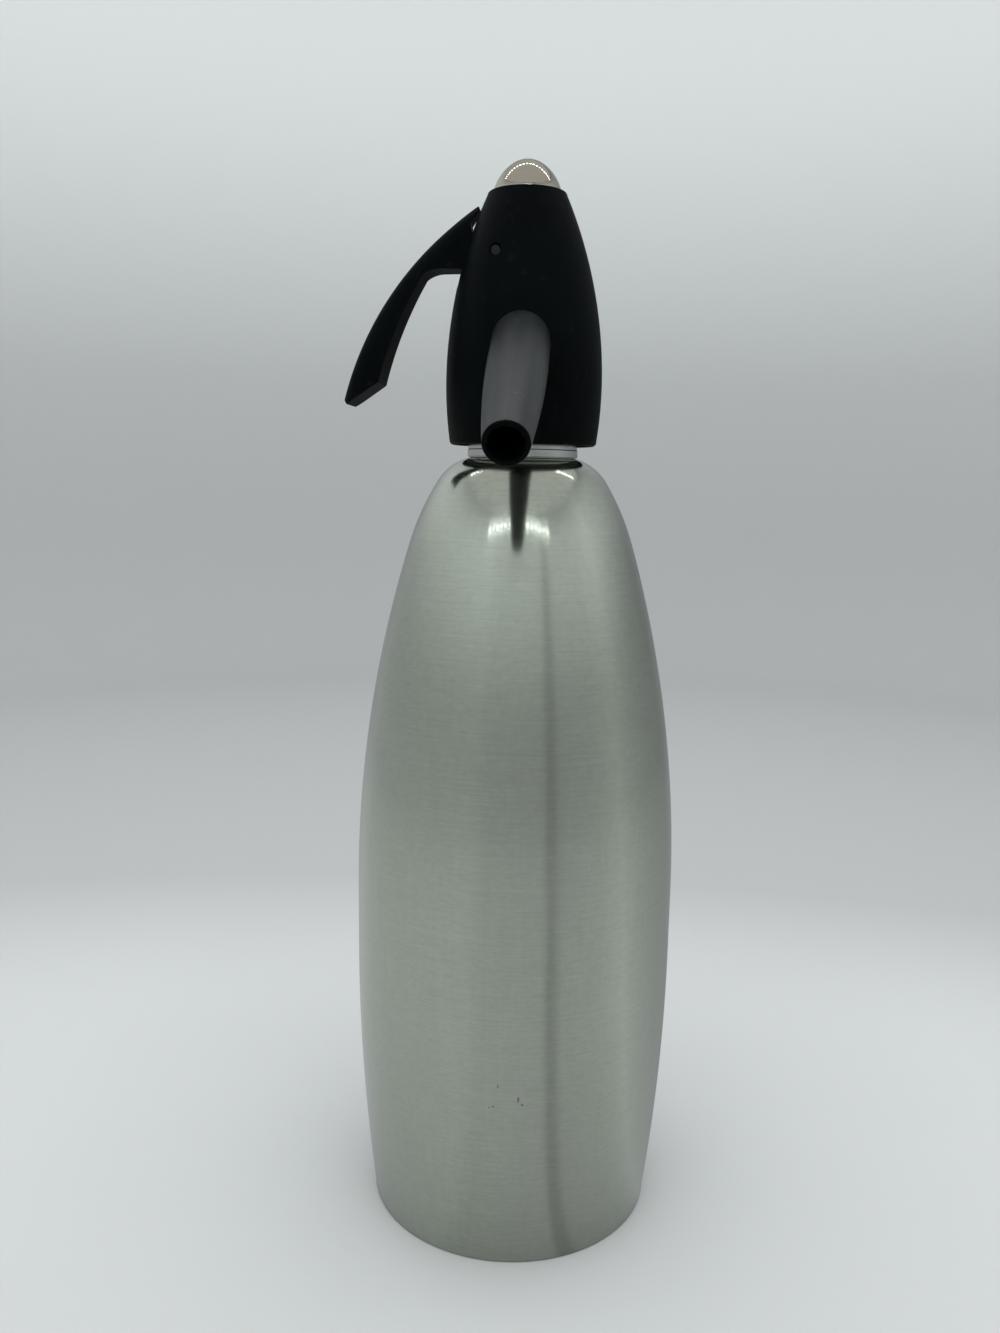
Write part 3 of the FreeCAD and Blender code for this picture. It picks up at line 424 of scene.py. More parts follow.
# The collar's rim faces the shoulder, which would mirror bright brass, so its brass is darkened to near
# black as painted shade.
nodes["threaded_collar"].data.materials[0] = finish["shaded_collar"]
print("finishes:", len(finish), "on", len(slot_of), "CAD nodes")

# %% [markdown]
# ## Turning a half section
# Bottle, neck ring, nose, spout and charger holder are all turned shapes, so one
# Geometry Nodes tree makes them. It reads the points of a half section (across, 0, up),
# lays a grid with one column of these points for each side, and wraps the columns round
# the Z axis. Merging by distance closes the joint and the poles. The tree can also sink
# upright flutes into a band of the outside, for a grip.


# %% Starting and ending a geometry tree
GEOMETRY, MATERIAL, WHOLE = "NodeSocketGeometry", "NodeSocketMaterial", "NodeSocketInt"


def piece_tree(name, inputs):
    """A geometry tree with these inputs and one geometry as its output."""
    tree, entry, end = new_tree("GeometryNodeTree", name, inputs, [("Geometry", GEOMETRY)])
    return tree, entry.outputs, end.inputs


def dress(tree, geometry, given, end):
    """End a tree: make its instances real and give the result its material."""
    real = add(tree, "GeometryNodeRealizeInstances", {0: geometry}).outputs[0]
    fill = {"Geometry": real, "Material": given["Material"]}
    tree.links.new(add(tree, "GeometryNodeSetMaterial", fill).outputs[0], end[0])
    return tree


# %% The turning tree
MERGE_DISTANCE = 0.001 * MM
FLUTE_RUN_OUT = 1.5 * MM


def make_turning_tree():
    inputs = [
        ("Section", GEOMETRY, None),
        ("Sides", WHOLE, 256),
        ("Material", MATERIAL, None),
        ("Flutes", FLOAT, 0.0),
        ("Flute Depth", FLOAT, 0.0),
        ("Flute Start", FLOAT, 0.0),
        ("Flute End", FLOAT, 1.0),
        ("Flute Least Radius", FLOAT, 0.0),
    ]
    tree, given, end = piece_tree("turning", inputs)
    count = add(tree, "GeometryNodeAttributeDomainSize", {0: given["Section"]}).outputs["Point Count"]
    columns = maths(tree, "ADD", given["Sides"], 1.0)
    grid = add(tree, "GeometryNodeMeshGrid", {"Vertices X": columns, "Vertices Y": count})
    index = add(tree, "GeometryNodeInputIndex").outputs[0]
    row = maths(tree, "MODULO", index, count)
    column = maths(tree, "FLOOR", maths(tree, "DIVIDE", index, count))
    turn = maths(tree, "MULTIPLY", maths(tree, "DIVIDE", column, given["Sides"]), math.tau)
    sample = add(tree, "GeometryNodeSampleIndex", {"Geometry": given["Section"], "Index": row})
    sample.data_type = "FLOAT_VECTOR"
    position = add(tree, "GeometryNodeInputPosition").outputs[0]
    tree.links.new(position, sample.inputs["Value"])
    point = add(tree, "ShaderNodeSeparateXYZ", {0: sample.outputs[0]}).outputs
    wave = maths(tree, "COSINE", maths(tree, "MULTIPLY", turn, given["Flutes"]))
    wave = maths(tree, "MAXIMUM", wave, 0.0)
    start, stop = given["Flute Start"], given["Flute End"]
    rise = ramp(tree, point["Z"], start, maths(tree, "ADD", start, FLUTE_RUN_OUT))
    fall = ramp(tree, point["Z"], maths(tree, "SUBTRACT", stop, FLUTE_RUN_OUT), stop, 1.0, 0.0)
    outside = maths(tree, "GREATER_THAN", point["X"], given["Flute Least Radius"])
    sink = maths(tree, "MULTIPLY", maths(tree, "POWER", wave, 1.5), given["Flute Depth"])
    for share in (rise, fall, outside):
        sink = maths(tree, "MULTIPLY", sink, share)
    radius = maths(tree, "SUBTRACT", point["X"], sink)
    across = maths(tree, "MULTIPLY", radius, maths(tree, "COSINE", turn))
    along = maths(tree, "MULTIPLY", radius, maths(tree, "SINE", turn))
    target = add(tree, "ShaderNodeCombineXYZ", {0: across, 1: along, 2: point["Z"]}).outputs[0]
    fill = {"Geometry": grid.outputs["Mesh"], "Position": target}
    wrapped = add(tree, "GeometryNodeSetPosition", fill).outputs[0]
    fill = {"Geometry": wrapped, "Distance": MERGE_DISTANCE}
    closed = add(tree, "GeometryNodeMergeByDistance", fill).outputs[0]
    return dress(tree, closed, given, end)


TURNING = make_turning_tree()
print("turning tree:", len(TURNING.nodes), "nodes")


# %% Run a tree and keep its mesh
def grow(name, tree, source, **fill):
    """Run a tree on a mesh with these inputs, and return the result as a plain object."""
    seed = bpy.data.objects.new(name + "_seed", source)
    bpy.context.scene.collection.objects.link(seed)
    modifier = seed.modifiers.new(name, "NODES")
    modifier.node_group = tree
    for item in tree.interface.items_tree:
        if item.in_out == "INPUT" and item.name in fill:
            modifier[item.identifier] = fill[item.name]
    bpy.context.view_layer.update()
    depsgraph = bpy.context.evaluated_depsgraph_get()
    mesh = bpy.data.meshes.new_from_object(seed.evaluated_get(depsgraph), depsgraph=depsgraph)
    seed.modifiers.clear()
    bpy.data.objects.remove(seed)
    return finished(name, mesh)


SHARP_EDGE = math.radians(35.0)


def finished(name, mesh):
    """Merge doubles, point the faces outwards, shade smoothly and link the piece."""
    work = bmesh.new()
    work.from_mesh(mesh)
    bmesh.ops.remove_doubles(work, verts=work.verts, dist=MERGE_DISTANCE)
    bmesh.ops.dissolve_degenerate(work, edges=work.edges, dist=1e-7)
    bmesh.ops.recalc_face_normals(work, faces=work.faces)
    work.to_mesh(mesh)
    work.free()
    mesh.name = name
    mesh.shade_smooth()
    mesh.set_sharp_from_angle(angle=SHARP_EDGE)
    piece = bpy.data.objects.new(name, mesh)
    bpy.context.scene.collection.objects.link(piece)
    return piece


# %% [markdown]
# ## Drawing a half section
# A half section is a list of corners in millimetres. A corner is (across, up), and a
# third number is the radius of the arc that leads to it, negative where the arc turns
# clockwise. `softened` puts a small round on chosen corners, because no moulded or
# turned edge is perfectly sharp, and a round edge catches a thin line of light.


# %% Helpers for half sections
ARC_STEP = math.radians(4)
ROUND_STEPS = 6


def section(*corners, longest=2.5):
    """Points of a half section from its corners, with arcs in steps of ARC_STEP or less."""
    points = []
    for across, up, *arc in corners:
        corner = Vector((across, up))
        if arc:
            start, radius = points[-1], arc[0]
            chord = corner - start
            side = Vector((-chord.y, chord.x)).normalized()
            rise = math.sqrt(max(radius**2 - (chord.length / 2) ** 2, 0.0))
            centre = (start + corner) / 2 + side * math.copysign(rise, radius)
            first, last = start - centre, corner - centre
            sweep = math.atan2(first.cross(last), first.dot(last))
            steps = math.ceil(max(abs(sweep) / ARC_STEP, abs(sweep * radius) / longest, 4))
            for step in range(1, steps):
                turned_by = Matrix.Rotation(sweep * step / steps, 2)
                points.append(centre + turned_by @ first)
        points.append(corner)
    return points


def softened(points, rounds):
    """Round off corners: rounds maps the number of a point to its radius."""
    result = []
    for index, corner in enumerate(points):
        radius = rounds.get(index)
        if radius is None:
            result.append(corner)
            continue
        back = (points[index - 1] - corner).normalized()
        ahead = (points[index + 1] - corner).normalized()
        half = back.angle(ahead) / 2
        reach = radius / math.tan(half)
        centre = corner + (back + ahead).normalized() * (radius / math.sin(half))
        first, last = corner + back * reach - centre, corner + ahead * reach - centre
        sweep = math.atan2(first.cross(last), first.dot(last))
        for step in range(ROUND_STEPS + 1):
            result.append(centre + Matrix.Rotation(sweep * step / ROUND_STEPS, 2) @ first)
    return result


def section_mesh(name, points):
    """A mesh with only the points of a half section, in metres."""
    source = bpy.data.meshes.new(name + "_section")
    source.from_pydata([(p.x * MM, 0.0, p.y * MM) for p in points], [], [])
    return source


def turned(name, points, slot_name, place=None, sides=256, **flutes):
    """Turn a half section, given in millimetres, into a piece in metres."""
    source = section_mesh(name, points)
    fill = {label.replace("_", " "): value for label, value in flutes.items()}
    piece = grow(name, TURNING, source, Sides=sides, Material=finish[slot_name], **fill)
    if place is not None:
        piece.data.transform(place)
    print(name, "faces:", len(piece.data.polygons), "profile points:", len(points))
    return piece


# %% [markdown]
# ## The bottle
# The bottle is one turned shell, from the middle of its domed base up the outside, over
# the neck and down the inside again. The welds between base, body and shoulder are
# ground flush on the real bottle, so one smooth skin stands for the three CAD nodes.
# Its side is a chain of arcs that meet without a kink: foot, flank, blend and a tight
# corner that runs up to the neck. The inside follows the same arcs, set in by the wall.

# %% Where the bottle's arcs meet
WALL = 1.0
BASE_RADIUS, BELLY_RADIUS = 42.9, 47.85
BELLY_LOW, BELLY_HIGH = 80.0, 100.0
FOOT_SEAM, FOOT_ROUND = 2.0, 0.6
foot_swell, foot_rise = BELLY_RADIUS - BASE_RADIUS, BELLY_LOW - FOOT_SEAM
FOOT_CURVE = (foot_swell**2 + foot_rise**2) / (2 * foot_swell)
FLANK_CURVE = 355.0
BLEND_START, BLEND_CURVE = 203.0, 75.0
CORNER_TURN, CORNER_CURVE = math.radians(32.0), 15.0
NECK_RADIUS, NECK_TOP = 15.0, 240.0
FOOT_INNER, DOME_RISE = 38.3, 6.0
DOME_CURVE = (FOOT_INNER**2 + DOME_RISE**2) / (2 * DOME_RISE)


def heading(turn):
    """The direction, across and up, that a turn from level gives."""
    return Vector((math.cos(turn), math.sin(turn)))


flank_turn = math.asin((BLEND_START - BELLY_HIGH) / FLANK_CURVE)
flank_centre = Vector((BELLY_RADIUS - FLANK_CURVE, BELLY_HIGH))
blend_centre = flank_centre + (FLANK_CURVE - BLEND_CURVE) * heading(flank_turn)
corner_centre = blend_centre + (BLEND_CURVE - CORNER_CURVE) * heading(CORNER_TURN)


def shoulder_spots(wall):
    """Where flank, blend, corner and neck meet on a skin set in by wall."""
    flank_end = flank_centre + (FLANK_CURVE - wall) * heading(flank_turn)
    blend_end = blend_centre + (BLEND_CURVE - wall) * heading(CORNER_TURN)
    bore = NECK_RADIUS - wall
    climb = math.sqrt((CORNER_CURVE - wall) ** 2 - (bore - corner_centre.x) ** 2)
    return flank_end, blend_end, Vector((bore, corner_centre.y + climb))


flank_end, blend_end, neck_root = shoulder_spots(0.0)
inner_flank_end, inner_blend_end, inner_root = shoulder_spots(WALL)
print("neck begins at", round(neck_root.y, 2), "mm")

# %% The bottle's skin
outside = section(
    (0.0, DOME_RISE),
    (FOOT_INNER, 0.0, -DOME_CURVE),
    (BASE_RADIUS - FOOT_ROUND, 0.0),
    (BASE_RADIUS, FOOT_ROUND, FOOT_ROUND),
    (BASE_RADIUS, FOOT_SEAM),
    (BELLY_RADIUS, BELLY_LOW, FOOT_CURVE),
    (BELLY_RADIUS, BELLY_HIGH),
    (*flank_end, FLANK_CURVE),
    (*blend_end, BLEND_CURVE),
    (*neck_root, CORNER_CURVE),
    (NECK_RADIUS, NECK_TOP),
)
inside = section(
    (NECK_RADIUS - WALL, NECK_TOP),
    inner_root,
    (*inner_blend_end, -(CORNER_CURVE - WALL)),
    (*inner_flank_end, -(BLEND_CURVE - WALL)),
    (BELLY_RADIUS - WALL, BELLY_HIGH, -(FLANK_CURVE - WALL)),
    (BELLY_RADIUS - WALL, BELLY_LOW),
    (BASE_RADIUS - WALL, FOOT_SEAM, -FOOT_CURVE),
    (BASE_RADIUS - WALL, WALL),
    (FOOT_INNER, WALL),
    (0.0, DOME_RISE + WALL, DOME_CURVE),
)
bottle = turned("bottle_skin", outside + inside, "bottle_steel", sides=288)
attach(bottle, "bottle")
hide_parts("bottle_base", "bottle_body", "bottle_shoulder")

# %% [markdown]
# ## The threaded neck ring
# A bright ring sits on the bottle's neck: a bead below, and a sleeve with a screw ridge
# above. The sleeve is turned. The ridge follows a spiral, so a second tree draws it: a
# spiral curve, its normals kept upright, and a small trapezium swept along it. The
# curve's radius shrinks at both ends, which runs the thread out as a cutter would.


# %% The thread tree
SLEEVE_RADIUS = 15.7
RUN_OUT, LEAST_RIDGE = 0.06, 0.15


def make_thread_tree():
    inputs = [
        ("Sleeve", GEOMETRY, None),
        ("Radius", FLOAT, SLEEVE_RADIUS * MM),
        ("Pitch", FLOAT, 3.0 * MM),
        ("Turns", FLOAT, 2.0),
        ("Start", FLOAT, 231.6 * MM),
        ("Depth", FLOAT, 0.9 * MM),
        ("Width", FLOAT, 1.5 * MM),
        ("Material", MATERIAL, None),
    ]
    tree, given, end = piece_tree("thread", inputs)
    height = maths(tree, "MULTIPLY", given["Pitch"], given["Turns"])
    spiral = add(
        tree,
        "GeometryNodeCurveSpiral",
        {
            "Resolution": 96,
            "Rotations": given["Turns"],
            "Start Radius": given["Radius"],
            "End Radius": given["Radius"],
            "Height": height,
            "Reverse": False,
        },
    )
    lift = add(tree, "ShaderNodeCombineXYZ", {2: given["Start"]}).outputs[0]
    raised = add(tree, "GeometryNodeTransform", {"Geometry": spiral.outputs[0], "Translation": lift})
    upright = add(tree, "GeometryNodeSetCurveNormal", {"Curve": raised.outputs[0]}, mode="Z_UP")
    along = add(tree, "GeometryNodeSplineParameter").outputs["Factor"]
    start = ramp(tree, along, 0.0, RUN_OUT, LEAST_RIDGE, 1.0)
    stop = ramp(tree, along, 1.0 - RUN_OUT, 1.0, 1.0, LEAST_RIDGE)
    ridge = add(tree, "GeometryNodeCurvePrimitiveCircle", {"Resolution": 12, "Radius": 1.0})
    half_width = maths(tree, "MULTIPLY", given["Width"], 0.5)
    half = add(tree, "ShaderNodeCombineXYZ", {0: given["Depth"], 1: half_width, 2: 1.0}).outputs[0]
    shaped = add(tree, "GeometryNodeTransform", {"Geometry": ridge.outputs[0], "Scale": half})
    swept = add(
        tree,
        "GeometryNodeCurveToMesh",
        {
            "Curve": upright.outputs[0],
            "Profile Curve": shaped.outputs[0],
            "Scale": maths(tree, "MULTIPLY", start, stop),
            "Fill Caps": True,
        },
    )
    both = add(tree, "GeometryNodeJoinGeometry")
    tree.links.new(given["Sleeve"], both.inputs[0])
    tree.links.new(swept.outputs[0], both.inputs[0])
    return dress(tree, both.outputs[0], given, end)


THREAD = make_thread_tree()
print("thread tree:", len(THREAD.nodes), "nodes")

# %% The neck ring
BEAD_RADIUS, BEAD_LOW, BEAD_HIGH, SLEEVE_TOP = 15.9, 227.8, 230.0, 239.6
sleeve_points = section(
    (NECK_RADIUS, BEAD_LOW),
    (BEAD_RADIUS, BEAD_LOW),
    (BEAD_RADIUS, BEAD_HIGH),
    (SLEEVE_RADIUS, BEAD_HIGH),
    (SLEEVE_RADIUS, SLEEVE_TOP),
    (NECK_RADIUS, SLEEVE_TOP),
    (NECK_RADIUS, BEAD_LOW),
)
sleeve = turned("neck_sleeve", softened(sleeve_points, {1: 0.25, 2: 0.35, 4: 0.3}), "neck_steel")
neck_ring = grow("neck_ring_threaded", THREAD, sleeve.data.copy(), Material=finish["neck_steel"])
bpy.data.objects.remove(sleeve)
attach(neck_ring, "bottle")
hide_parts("neck_ring")
print("neck ring faces:", len(neck_ring.data.polygons))

# %% [markdown]
# ## The valve spring
# The spring keeps the shape of its CAD node. When the lever lifts the valve, the real spring
# is pressed shorter against its retainer. Here its copy has a mesh of its own and rides
# plainly with the head, though a plain ride would push the collar through the coils.

# %% The valve spring
spring = finished("coil_spring", nodes["valve_spring"].data.copy())
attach(spring, "head")
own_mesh(spring)
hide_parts("valve_spring")

# %% [markdown]
# ## The chromed nose
# The nose carries the head's curve on to a round point. It is polished and plated, so
# it mirrors the lamps above it. A skirt inside the head's rim holds it.

# %% The nose
NOSE_TOP, NOSE_RIM, SKIRT_LOW = 309.1, 300.1, 293.0
TIP_CURVE, SIDE_CURVE = 8.0, 12.5
SLANT = math.radians(35.0)
SKIRT_WALL, DOME_WALL = 1.2, 2.2
INNER_TOP, INNER_RIM, SKIRT_STEP = 307.4, 303.0, 299.5
side_shift = SIDE_CURVE - TIP_CURVE
nose_level = NOSE_TOP - TIP_CURVE - side_shift * math.cos(SLANT)
nose_radius = math.sqrt(SIDE_CURVE**2 - (NOSE_RIM - nose_level) ** 2)
nose_radius -= side_shift * math.sin(SLANT)
tip_drop = TIP_CURVE * (1 - math.cos(SLANT))
nose_points = section(
    (nose_radius - SKIRT_WALL, SKIRT_LOW),
    (nose_radius, SKIRT_LOW),
    (nose_radius, NOSE_RIM),
    (TIP_CURVE * math.sin(SLANT), NOSE_TOP - tip_drop, SIDE_CURVE),
    (0.0, NOSE_TOP, TIP_CURVE),
)
nose_points += section(
    (0.0, INNER_TOP),
    (nose_radius - DOME_WALL, INNER_RIM),
    (nose_radius - DOME_WALL, SKIRT_STEP),
    (nose_radius - SKIRT_WALL, SKIRT_STEP),
    (nose_radius - SKIRT_WALL, SKIRT_LOW),
)
nose = turned("nose_point", nose_points, "nose_chrome", sides=192)
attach(nose, "head")
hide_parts("nose_cap")

# %% [markdown]
# ## The spout
# The spout is a moulded tube that swells a little and then tapers to its mouth. It was
# moulded in two halves, so a fine seam runs along its upper and lower sides. The seam
# is real shape: the points near those two lines are lifted by less than a tenth of a
# millimetre before the tube is laid along its slope. The lip and the bore are darker
# than the handled outside: their faces get the head's black, as painted shade.

# %% The spout
SPOUT_SLOPE, SPOUT_LEVEL = math.radians(27.9), 0.268
ALONG_SPOUT = Matrix.Translation((0.0, 0.0, SPOUT_LEVEL)) @ Matrix.Rotation(
    math.pi / 2 + SPOUT_SLOPE, 4, "X"
)
SPOUT_BORE, SPIGOT_RADIUS, ROOT_RADIUS = 3.8, 5.5, 7.95
SPOUT_SWELL, TIP_RADIUS, MOUTH_RADIUS = 8.0, 5.6, 4.3
SPIGOT_START, SPIGOT_SHOULDER, SWELL_AT, SPOUT_END = 12.0, 18.5, 34.0, 82.6
taper_run, taper_drop = SPOUT_END - SWELL_AT, SPOUT_SWELL - TIP_RADIUS
spout_points = section(
    (SPOUT_BORE, SPIGOT_START),
    (SPIGOT_RADIUS, SPIGOT_START),
    (SPIGOT_RADIUS, SPIGOT_SHOULDER),
    (ROOT_RADIUS, SPIGOT_SHOULDER),
    (SPOUT_SWELL, SWELL_AT),
    (TIP_RADIUS, SPOUT_END, (taper_run**2 + taper_drop**2) / (2 * taper_drop)),
    (MOUTH_RADIUS, SPOUT_END),
    (SPOUT_BORE, SWELL_AT),
    (SPOUT_BORE, SPIGOT_START),
)
mouth = len(spout_points) - 4
rounds = {3: 0.3, mouth: 0.7, mouth + 1: 0.4}
spout = turned("spout_tube", softened(spout_points, rounds), "spout_plastic", sides=240)

# %% The spout's seam, and painted shade in its mouth
SEAM_LEAST_RADIUS, SEAM_WIDTH, SEAM_HEIGHT = 5.55 * MM, 0.22 * MM, 0.07 * MM
SEAM_START, SEAM_END = 19.0 * MM, 82.2 * MM
LIP_START, BORE_START, BORE_LIMIT = 81.8 * MM, 20.0 * MM, 4.5 * MM
for vertex in spout.data.vertices:
    spot = vertex.co
    if math.hypot(spot.x, spot.y) > SEAM_LEAST_RADIUS and SEAM_START < spot.z < SEAM_END:
        aside = abs(spot.x) / SEAM_WIDTH
        spot.y += math.copysign(SEAM_HEIGHT, spot.y) * math.exp(-(aside**2))
# The lip and the bore get the head's black as painted shade.
spout.data.materials.append(finish["black_plastic"])
dark = len(spout.data.materials) - 1
for face in spout.data.polygons:
    middle = face.center
    in_bore = middle.z > BORE_START and math.hypot(middle.x, middle.y) < BORE_LIMIT
    if middle.z > LIP_START or in_bore:
        face.material_index = dark
print("dark faces:", sum(face.material_index == dark for face in spout.data.polygons))
spout.data.transform(ALONG_SPOUT)
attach(spout, "head")
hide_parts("spout")

# %% [markdown]
# ## The charger holder
# The holder screws on at the back and is turned by hand, so it has a band of flutes
# along it. They come from the turning tree's own flute inputs, and the half section has
# a point at each millimetre there, so that the flutes can fade in and out.

# %% The charger holder
PORT_LEVEL = 0.254
BACKWARDS = Matrix.Translation((0.0, 0.0, PORT_LEVEL)) @ Matrix.Rotation(-math.pi / 2, 4, "X")
HOLDER_BORE, HOLDER_RADIUS, END_ROUND, END_WALL = 9.6, 12.5, 5.0, 2.1
PLAIN_END, BAND_START, BAND_END = 40, 42, 84
holder_low, holder_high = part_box("charger_holder")
holder_start, holder_end = holder_low.y / MM, holder_high.y / MM
holder_points = section(
    (HOLDER_BORE, holder_start),
    (HOLDER_RADIUS, holder_start),
    (HOLDER_RADIUS, PLAIN_END),
)
holder_points += [Vector((HOLDER_RADIUS, level)) for level in range(BAND_START, BAND_END + 1)]
holder_points += section(
    (HOLDER_RADIUS, holder_end - END_ROUND),
    (HOLDER_RADIUS - END_ROUND, holder_end, END_ROUND),
    (0.0, holder_end),
)
holder_points += section(
    (0.0, holder_end - END_WALL), (HOLDER_BORE, holder_end - END_WALL), (HOLDER_BORE, holder_start)
)
holder = turned(
    "charger_holder_fluted",
    softened(holder_points, {1: 0.6}),
    "black_plastic",
    BACKWARDS,
    Flutes=20.0,
    Flute_Depth=0.55 * MM,
    Flute_Start=46.0 * MM,
    Flute_End=83.0 * MM,
    Flute_Least_Radius=11.0 * MM,
)
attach(holder, "charger")
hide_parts("charger_holder")

# %% [markdown]
# ## Floor, backdrop and light
# The photograph was taken in a small light tent. A wide round tray with a curved edge
# is the floor and the backdrop in one. Its colour carries painted light and shade: it is
# lighter near the bottle, falls off behind it and rises again up the wall. Mirror-like
# metal also shows the joints between the tent's panels, as soft upright bands, and a
# darker floor, so the tray carries both for gloss rays only, as painted reflections.

# %% Floor and backdrop
# The floor's and wall's tones are painted light and shade: lighter near the bottle, darker behind it
# and at the wall's foot, lighter up the wall.
FLOOR_REACH, FLOOR_TONES = (0.12, 0.33), (0.59, 0.425)
WALL_REACH, WALL_TONES = (0.10, 0.80), (0.46, 0.82)
MIRRORED_FLOOR = 0.43
TENT_TINT = (0.97, 1.0, 1.005)
# A band is an angle round the tent in degrees, from the front, and its brightness.
BANDS = [
    (-180, 0.50), (-155, 0.66), (-134, 0.84), (-100, 0.86), (-28, 0.86), (-17, 0.78),
    (22, 0.74), (25, 0.54), (29, 0.54), (33, 0.72), (60, 0.80), (80, 0.95),
    (95, 0.80), (115, 0.64), (140, 0.50), (180, 0.50),
]


def make_bands(tree, axis):
    """The brightness of the tent's wall round the Z axis, as gloss rays see it."""
    angle = maths(tree, "ARCTAN2", axis["X"], maths(tree, "MULTIPLY", axis["Y"], -1.0))
    bands = tree.nodes.new("ShaderNodeValToRGB")
    stops = bands.color_ramp.elements
    while len(stops) < len(BANDS):
        stops.new(0.5)
    for stop, (degrees, value) in zip(stops, BANDS):
        stop.position = (degrees + 180) / 360
        stop.color = (value, value, value, 1.0)
    tree.links.new(maths(tree, "MULTIPLY_ADD", angle, 0.5 / math.pi, 0.5), bands.inputs[0])
    return bands.outputs[0]


def make_backdrop():
    material, tree, shader = new_material("light_tent", Roughness=0.9, Specular_IOR_Level=0.1)
    place = tree.nodes.new("ShaderNodeTexCoord").outputs["Object"]
    axis = add(tree, "ShaderNodeSeparateXYZ", {0: place}).outputs
    aside = maths(tree, "MULTIPLY", axis["X"], 0.5)
    depth = maths(tree, "MULTIPLY", axis["Y"], axis["Y"])
    far = maths(tree, "SQRT", maths(tree, "MULTIPLY_ADD", aside, aside, depth))
    floor_painted_light = ramp(tree, far, *FLOOR_REACH, *FLOOR_TONES)
    wall_painted_light = ramp(tree, axis["Z"], *WALL_REACH, *WALL_TONES)
    # For gloss rays only, the floor is painted darker and the wall carries the tent's bands, as painted
    # reflections.
    gloss = add(tree, "ShaderNodeLightPath").outputs["Is Glossy Ray"]
    mirrored = maths(tree, "MULTIPLY", floor_painted_light, MIRRORED_FLOOR)
    darker = maths(tree, "MULTIPLY", gloss, maths(tree, "SUBTRACT", floor_painted_light, mirrored))
    tone = maths(tree, "MAXIMUM", maths(tree, "SUBTRACT", floor_painted_light, darker), wall_painted_light)
    band = maths(tree, "SUBTRACT", make_bands(tree, axis), 1.0)
    tone = maths(tree, "MULTIPLY", tone, maths(tree, "MULTIPLY_ADD", gloss, band, 1.0))
    tint = add(tree, "ShaderNodeVectorMath", {0: TENT_TINT, "Scale": tone}, operation="SCALE")
    tree.links.new(tint.outputs[0], shader["Base Color"])
    return material


finish["tent"] = make_backdrop()
TRAY_RADIUS, TRAY_CURVE, TRAY_HEIGHT, TRAY_MIDDLE = 1250.0, 350.0, 1500.0, 300.0
tray_points = section(
    (0.0, 0.0),
    (TRAY_MIDDLE, 0.0),
    (TRAY_RADIUS - TRAY_CURVE, 0.0),
    (TRAY_RADIUS, TRAY_CURVE, TRAY_CURVE),
    (TRAY_RADIUS, TRAY_HEIGHT),
    longest=20.0,
)
source = section_mesh("tray", tray_points)
tray = grow("light_tent_tray", TURNING, source, Sides=128, Material=finish["tent"])
tray.data.flip_normals()
print("backdrop faces:", len(tray.data.polygons))

# %% [markdown]
# ## Lamps
# Two strips of small diodes hang across the top of the tent, one in front of the bottle
# and one above it. They draw the small glints in an arc on the shoulder and on the nose.
# A tree places the diodes. A large soft lamp above gives the rest of the light, and it
# is hidden from gloss rays, so the metal mirrors only the tent and the diodes.


# %% Diode strips
def make_diode_tree():
    inputs = [
        ("Seed", GEOMETRY, None),
        ("Count", WHOLE, 40),
        ("Pitch", FLOAT, 0.02),
        ("Size", FLOAT, 0.007),
        ("Material", MATERIAL, None),
    ]
    tree, given, end = piece_tree("diode_strip", inputs)
    offset = add(tree, "ShaderNodeCombineXYZ", {0: given["Pitch"]}).outputs[0]
    line = add(tree, "GeometryNodeMeshLine", {"Count": given["Count"], "Offset": offset})
    size = given["Size"]
    fill = {"Size X": size, "Size Y": size, "Vertices X": 2, "Vertices Y": 2}
    diode = add(tree, "GeometryNodeMeshGrid", fill)
    fill = {"Points": line.outputs[0], "Instance": diode.outputs["Mesh"]}
    placed = add(tree, "GeometryNodeInstanceOnPoints", fill).outputs[0]
    return dress(tree, placed, given, end)


DIODES = make_diode_tree()
diode_glow, _, diode_shader = new_material("diode_glow", Base_Color=(0.9, 0.9, 0.9, 1.0))
diode_shader["Emission Color"].default_value = (0.95, 1.0, 1.0, 1.0)
diode_shader["Emission Strength"].default_value = 15.0
# A strip has its name, its count of diodes, their pitch and its middle, in metres.
STRIPS = (
    ("front_strip", 15, 0.045, (0.0, -0.48, 0.62)),
    ("top_strip", 20, 0.035, (0.0, 0.10, 0.62)),
)
DIODE_SHARE, AIM_HEIGHT = 0.4, 0.2
for strip_name, count, pitch, centre in STRIPS:
    seed_mesh = bpy.data.meshes.new(strip_name)
    seed_mesh.from_pydata([(0, 0, 0)], [], [])
    fill = dict(Count=count, Pitch=pitch, Size=DIODE_SHARE * pitch, Material=diode_glow)
    strip = grow(strip_name, DIODES, seed_mesh, **fill)
    tilt = math.atan2(centre[1], centre[2] - AIM_HEIGHT)
    strip.data.transform(
        Matrix.Translation(centre)
        @ Matrix.Rotation(-tilt, 4, "X")
        @ Matrix.Translation((-pitch * (count - 1) / 2, 0, 0))
    )
    strip.visible_camera = False
print("diodes:", sum(strip[1] for strip in STRIPS))


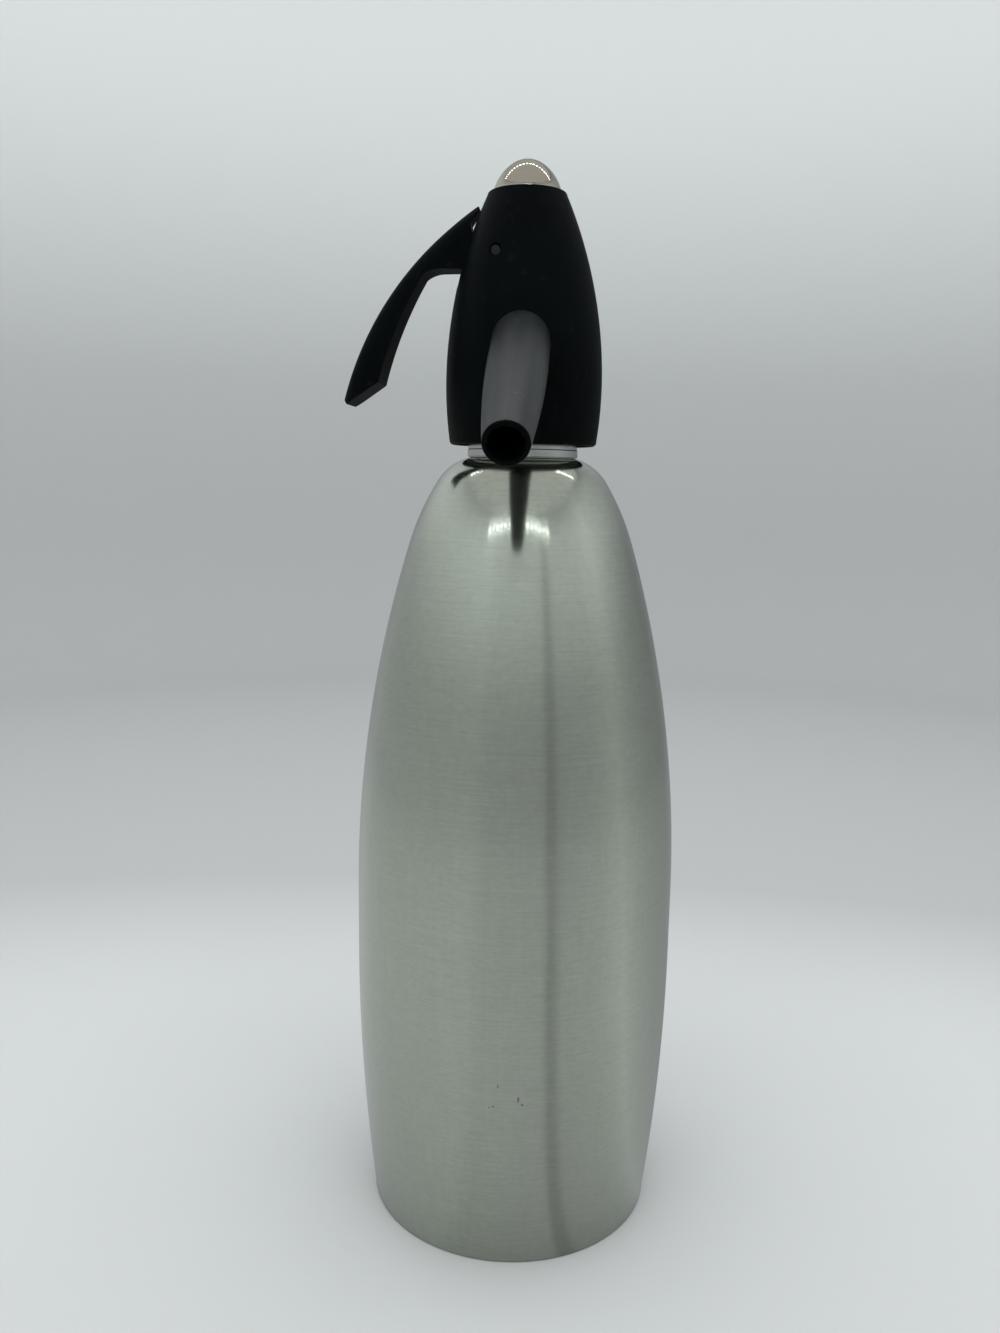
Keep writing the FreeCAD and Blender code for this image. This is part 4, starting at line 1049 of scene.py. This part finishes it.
# %% Soft lamp and world
def soft_lamp(name, place, target, size, power):
    """A lamp of two side lengths, aimed at a target and hidden from camera and gloss rays."""
    lamp = bpy.data.lights.new(name, "AREA")
    lamp.shape = "RECTANGLE"
    lamp.size, lamp.size_y = size
    lamp.energy = power
    panel = bpy.data.objects.new(name, lamp)
    bpy.context.scene.collection.objects.link(panel)
    aim = (Vector(target) - Vector(place)).to_track_quat("-Z", "Y").to_matrix().to_4x4()
    panel.matrix_world = Matrix.Translation(place) @ aim
    panel.visible_camera = False
    panel.visible_glossy = False


soft_lamp("top_panel", (0.0, -0.1, 1.4), (0.0, 0.0, 0.1), (1.4, 1.4), 16.0)

world = bpy.data.worlds.new("studio")
bpy.context.scene.world = world
world.use_nodes = True
background = world.node_tree.nodes["Background"].inputs
background["Color"].default_value = (0.92, 0.92, 0.92, 1.0)
background["Strength"].default_value = 0.55

# %% [markdown]
# ## Camera
# The camera stands at the photograph's place: a hand's width above the middle of the
# bottle, tipped slightly down, with the lens that its perspective asks for.

# %% Camera
FOCAL_PIXELS, PHOTO_PIXELS, SENSOR = 1100, 1333, 36.0
CAMERA_REACH, CAMERA_HEIGHT = 0.325, 0.222
VIEW_TURN = math.radians(2.95)
AIM_TURN, AIM_DIP, AIM_ROLL = 0.0170, 0.1702, 0.0165
camera_data = bpy.data.cameras.new("camera")
camera_data.sensor_width = SENSOR
camera_data.lens = FOCAL_PIXELS / PHOTO_PIXELS * SENSOR
camera_data.clip_start = 0.01
camera = bpy.data.objects.new("camera", camera_data)
bpy.context.scene.collection.objects.link(camera)
bpy.context.scene.camera = camera
aside, back = CAMERA_REACH * math.sin(VIEW_TURN), CAMERA_REACH * math.cos(VIEW_TURN)
camera.matrix_world = (
    Matrix.Translation((aside, -back, CAMERA_HEIGHT))
    @ Matrix.Rotation(VIEW_TURN + AIM_TURN, 4, "Z")
    @ Matrix.Rotation(math.pi / 2 - AIM_DIP, 4, "X")
    @ Matrix.Rotation(AIM_ROLL, 4, "Z")
)

# %% View transform
bpy.context.scene.view_settings.view_transform = "Standard"
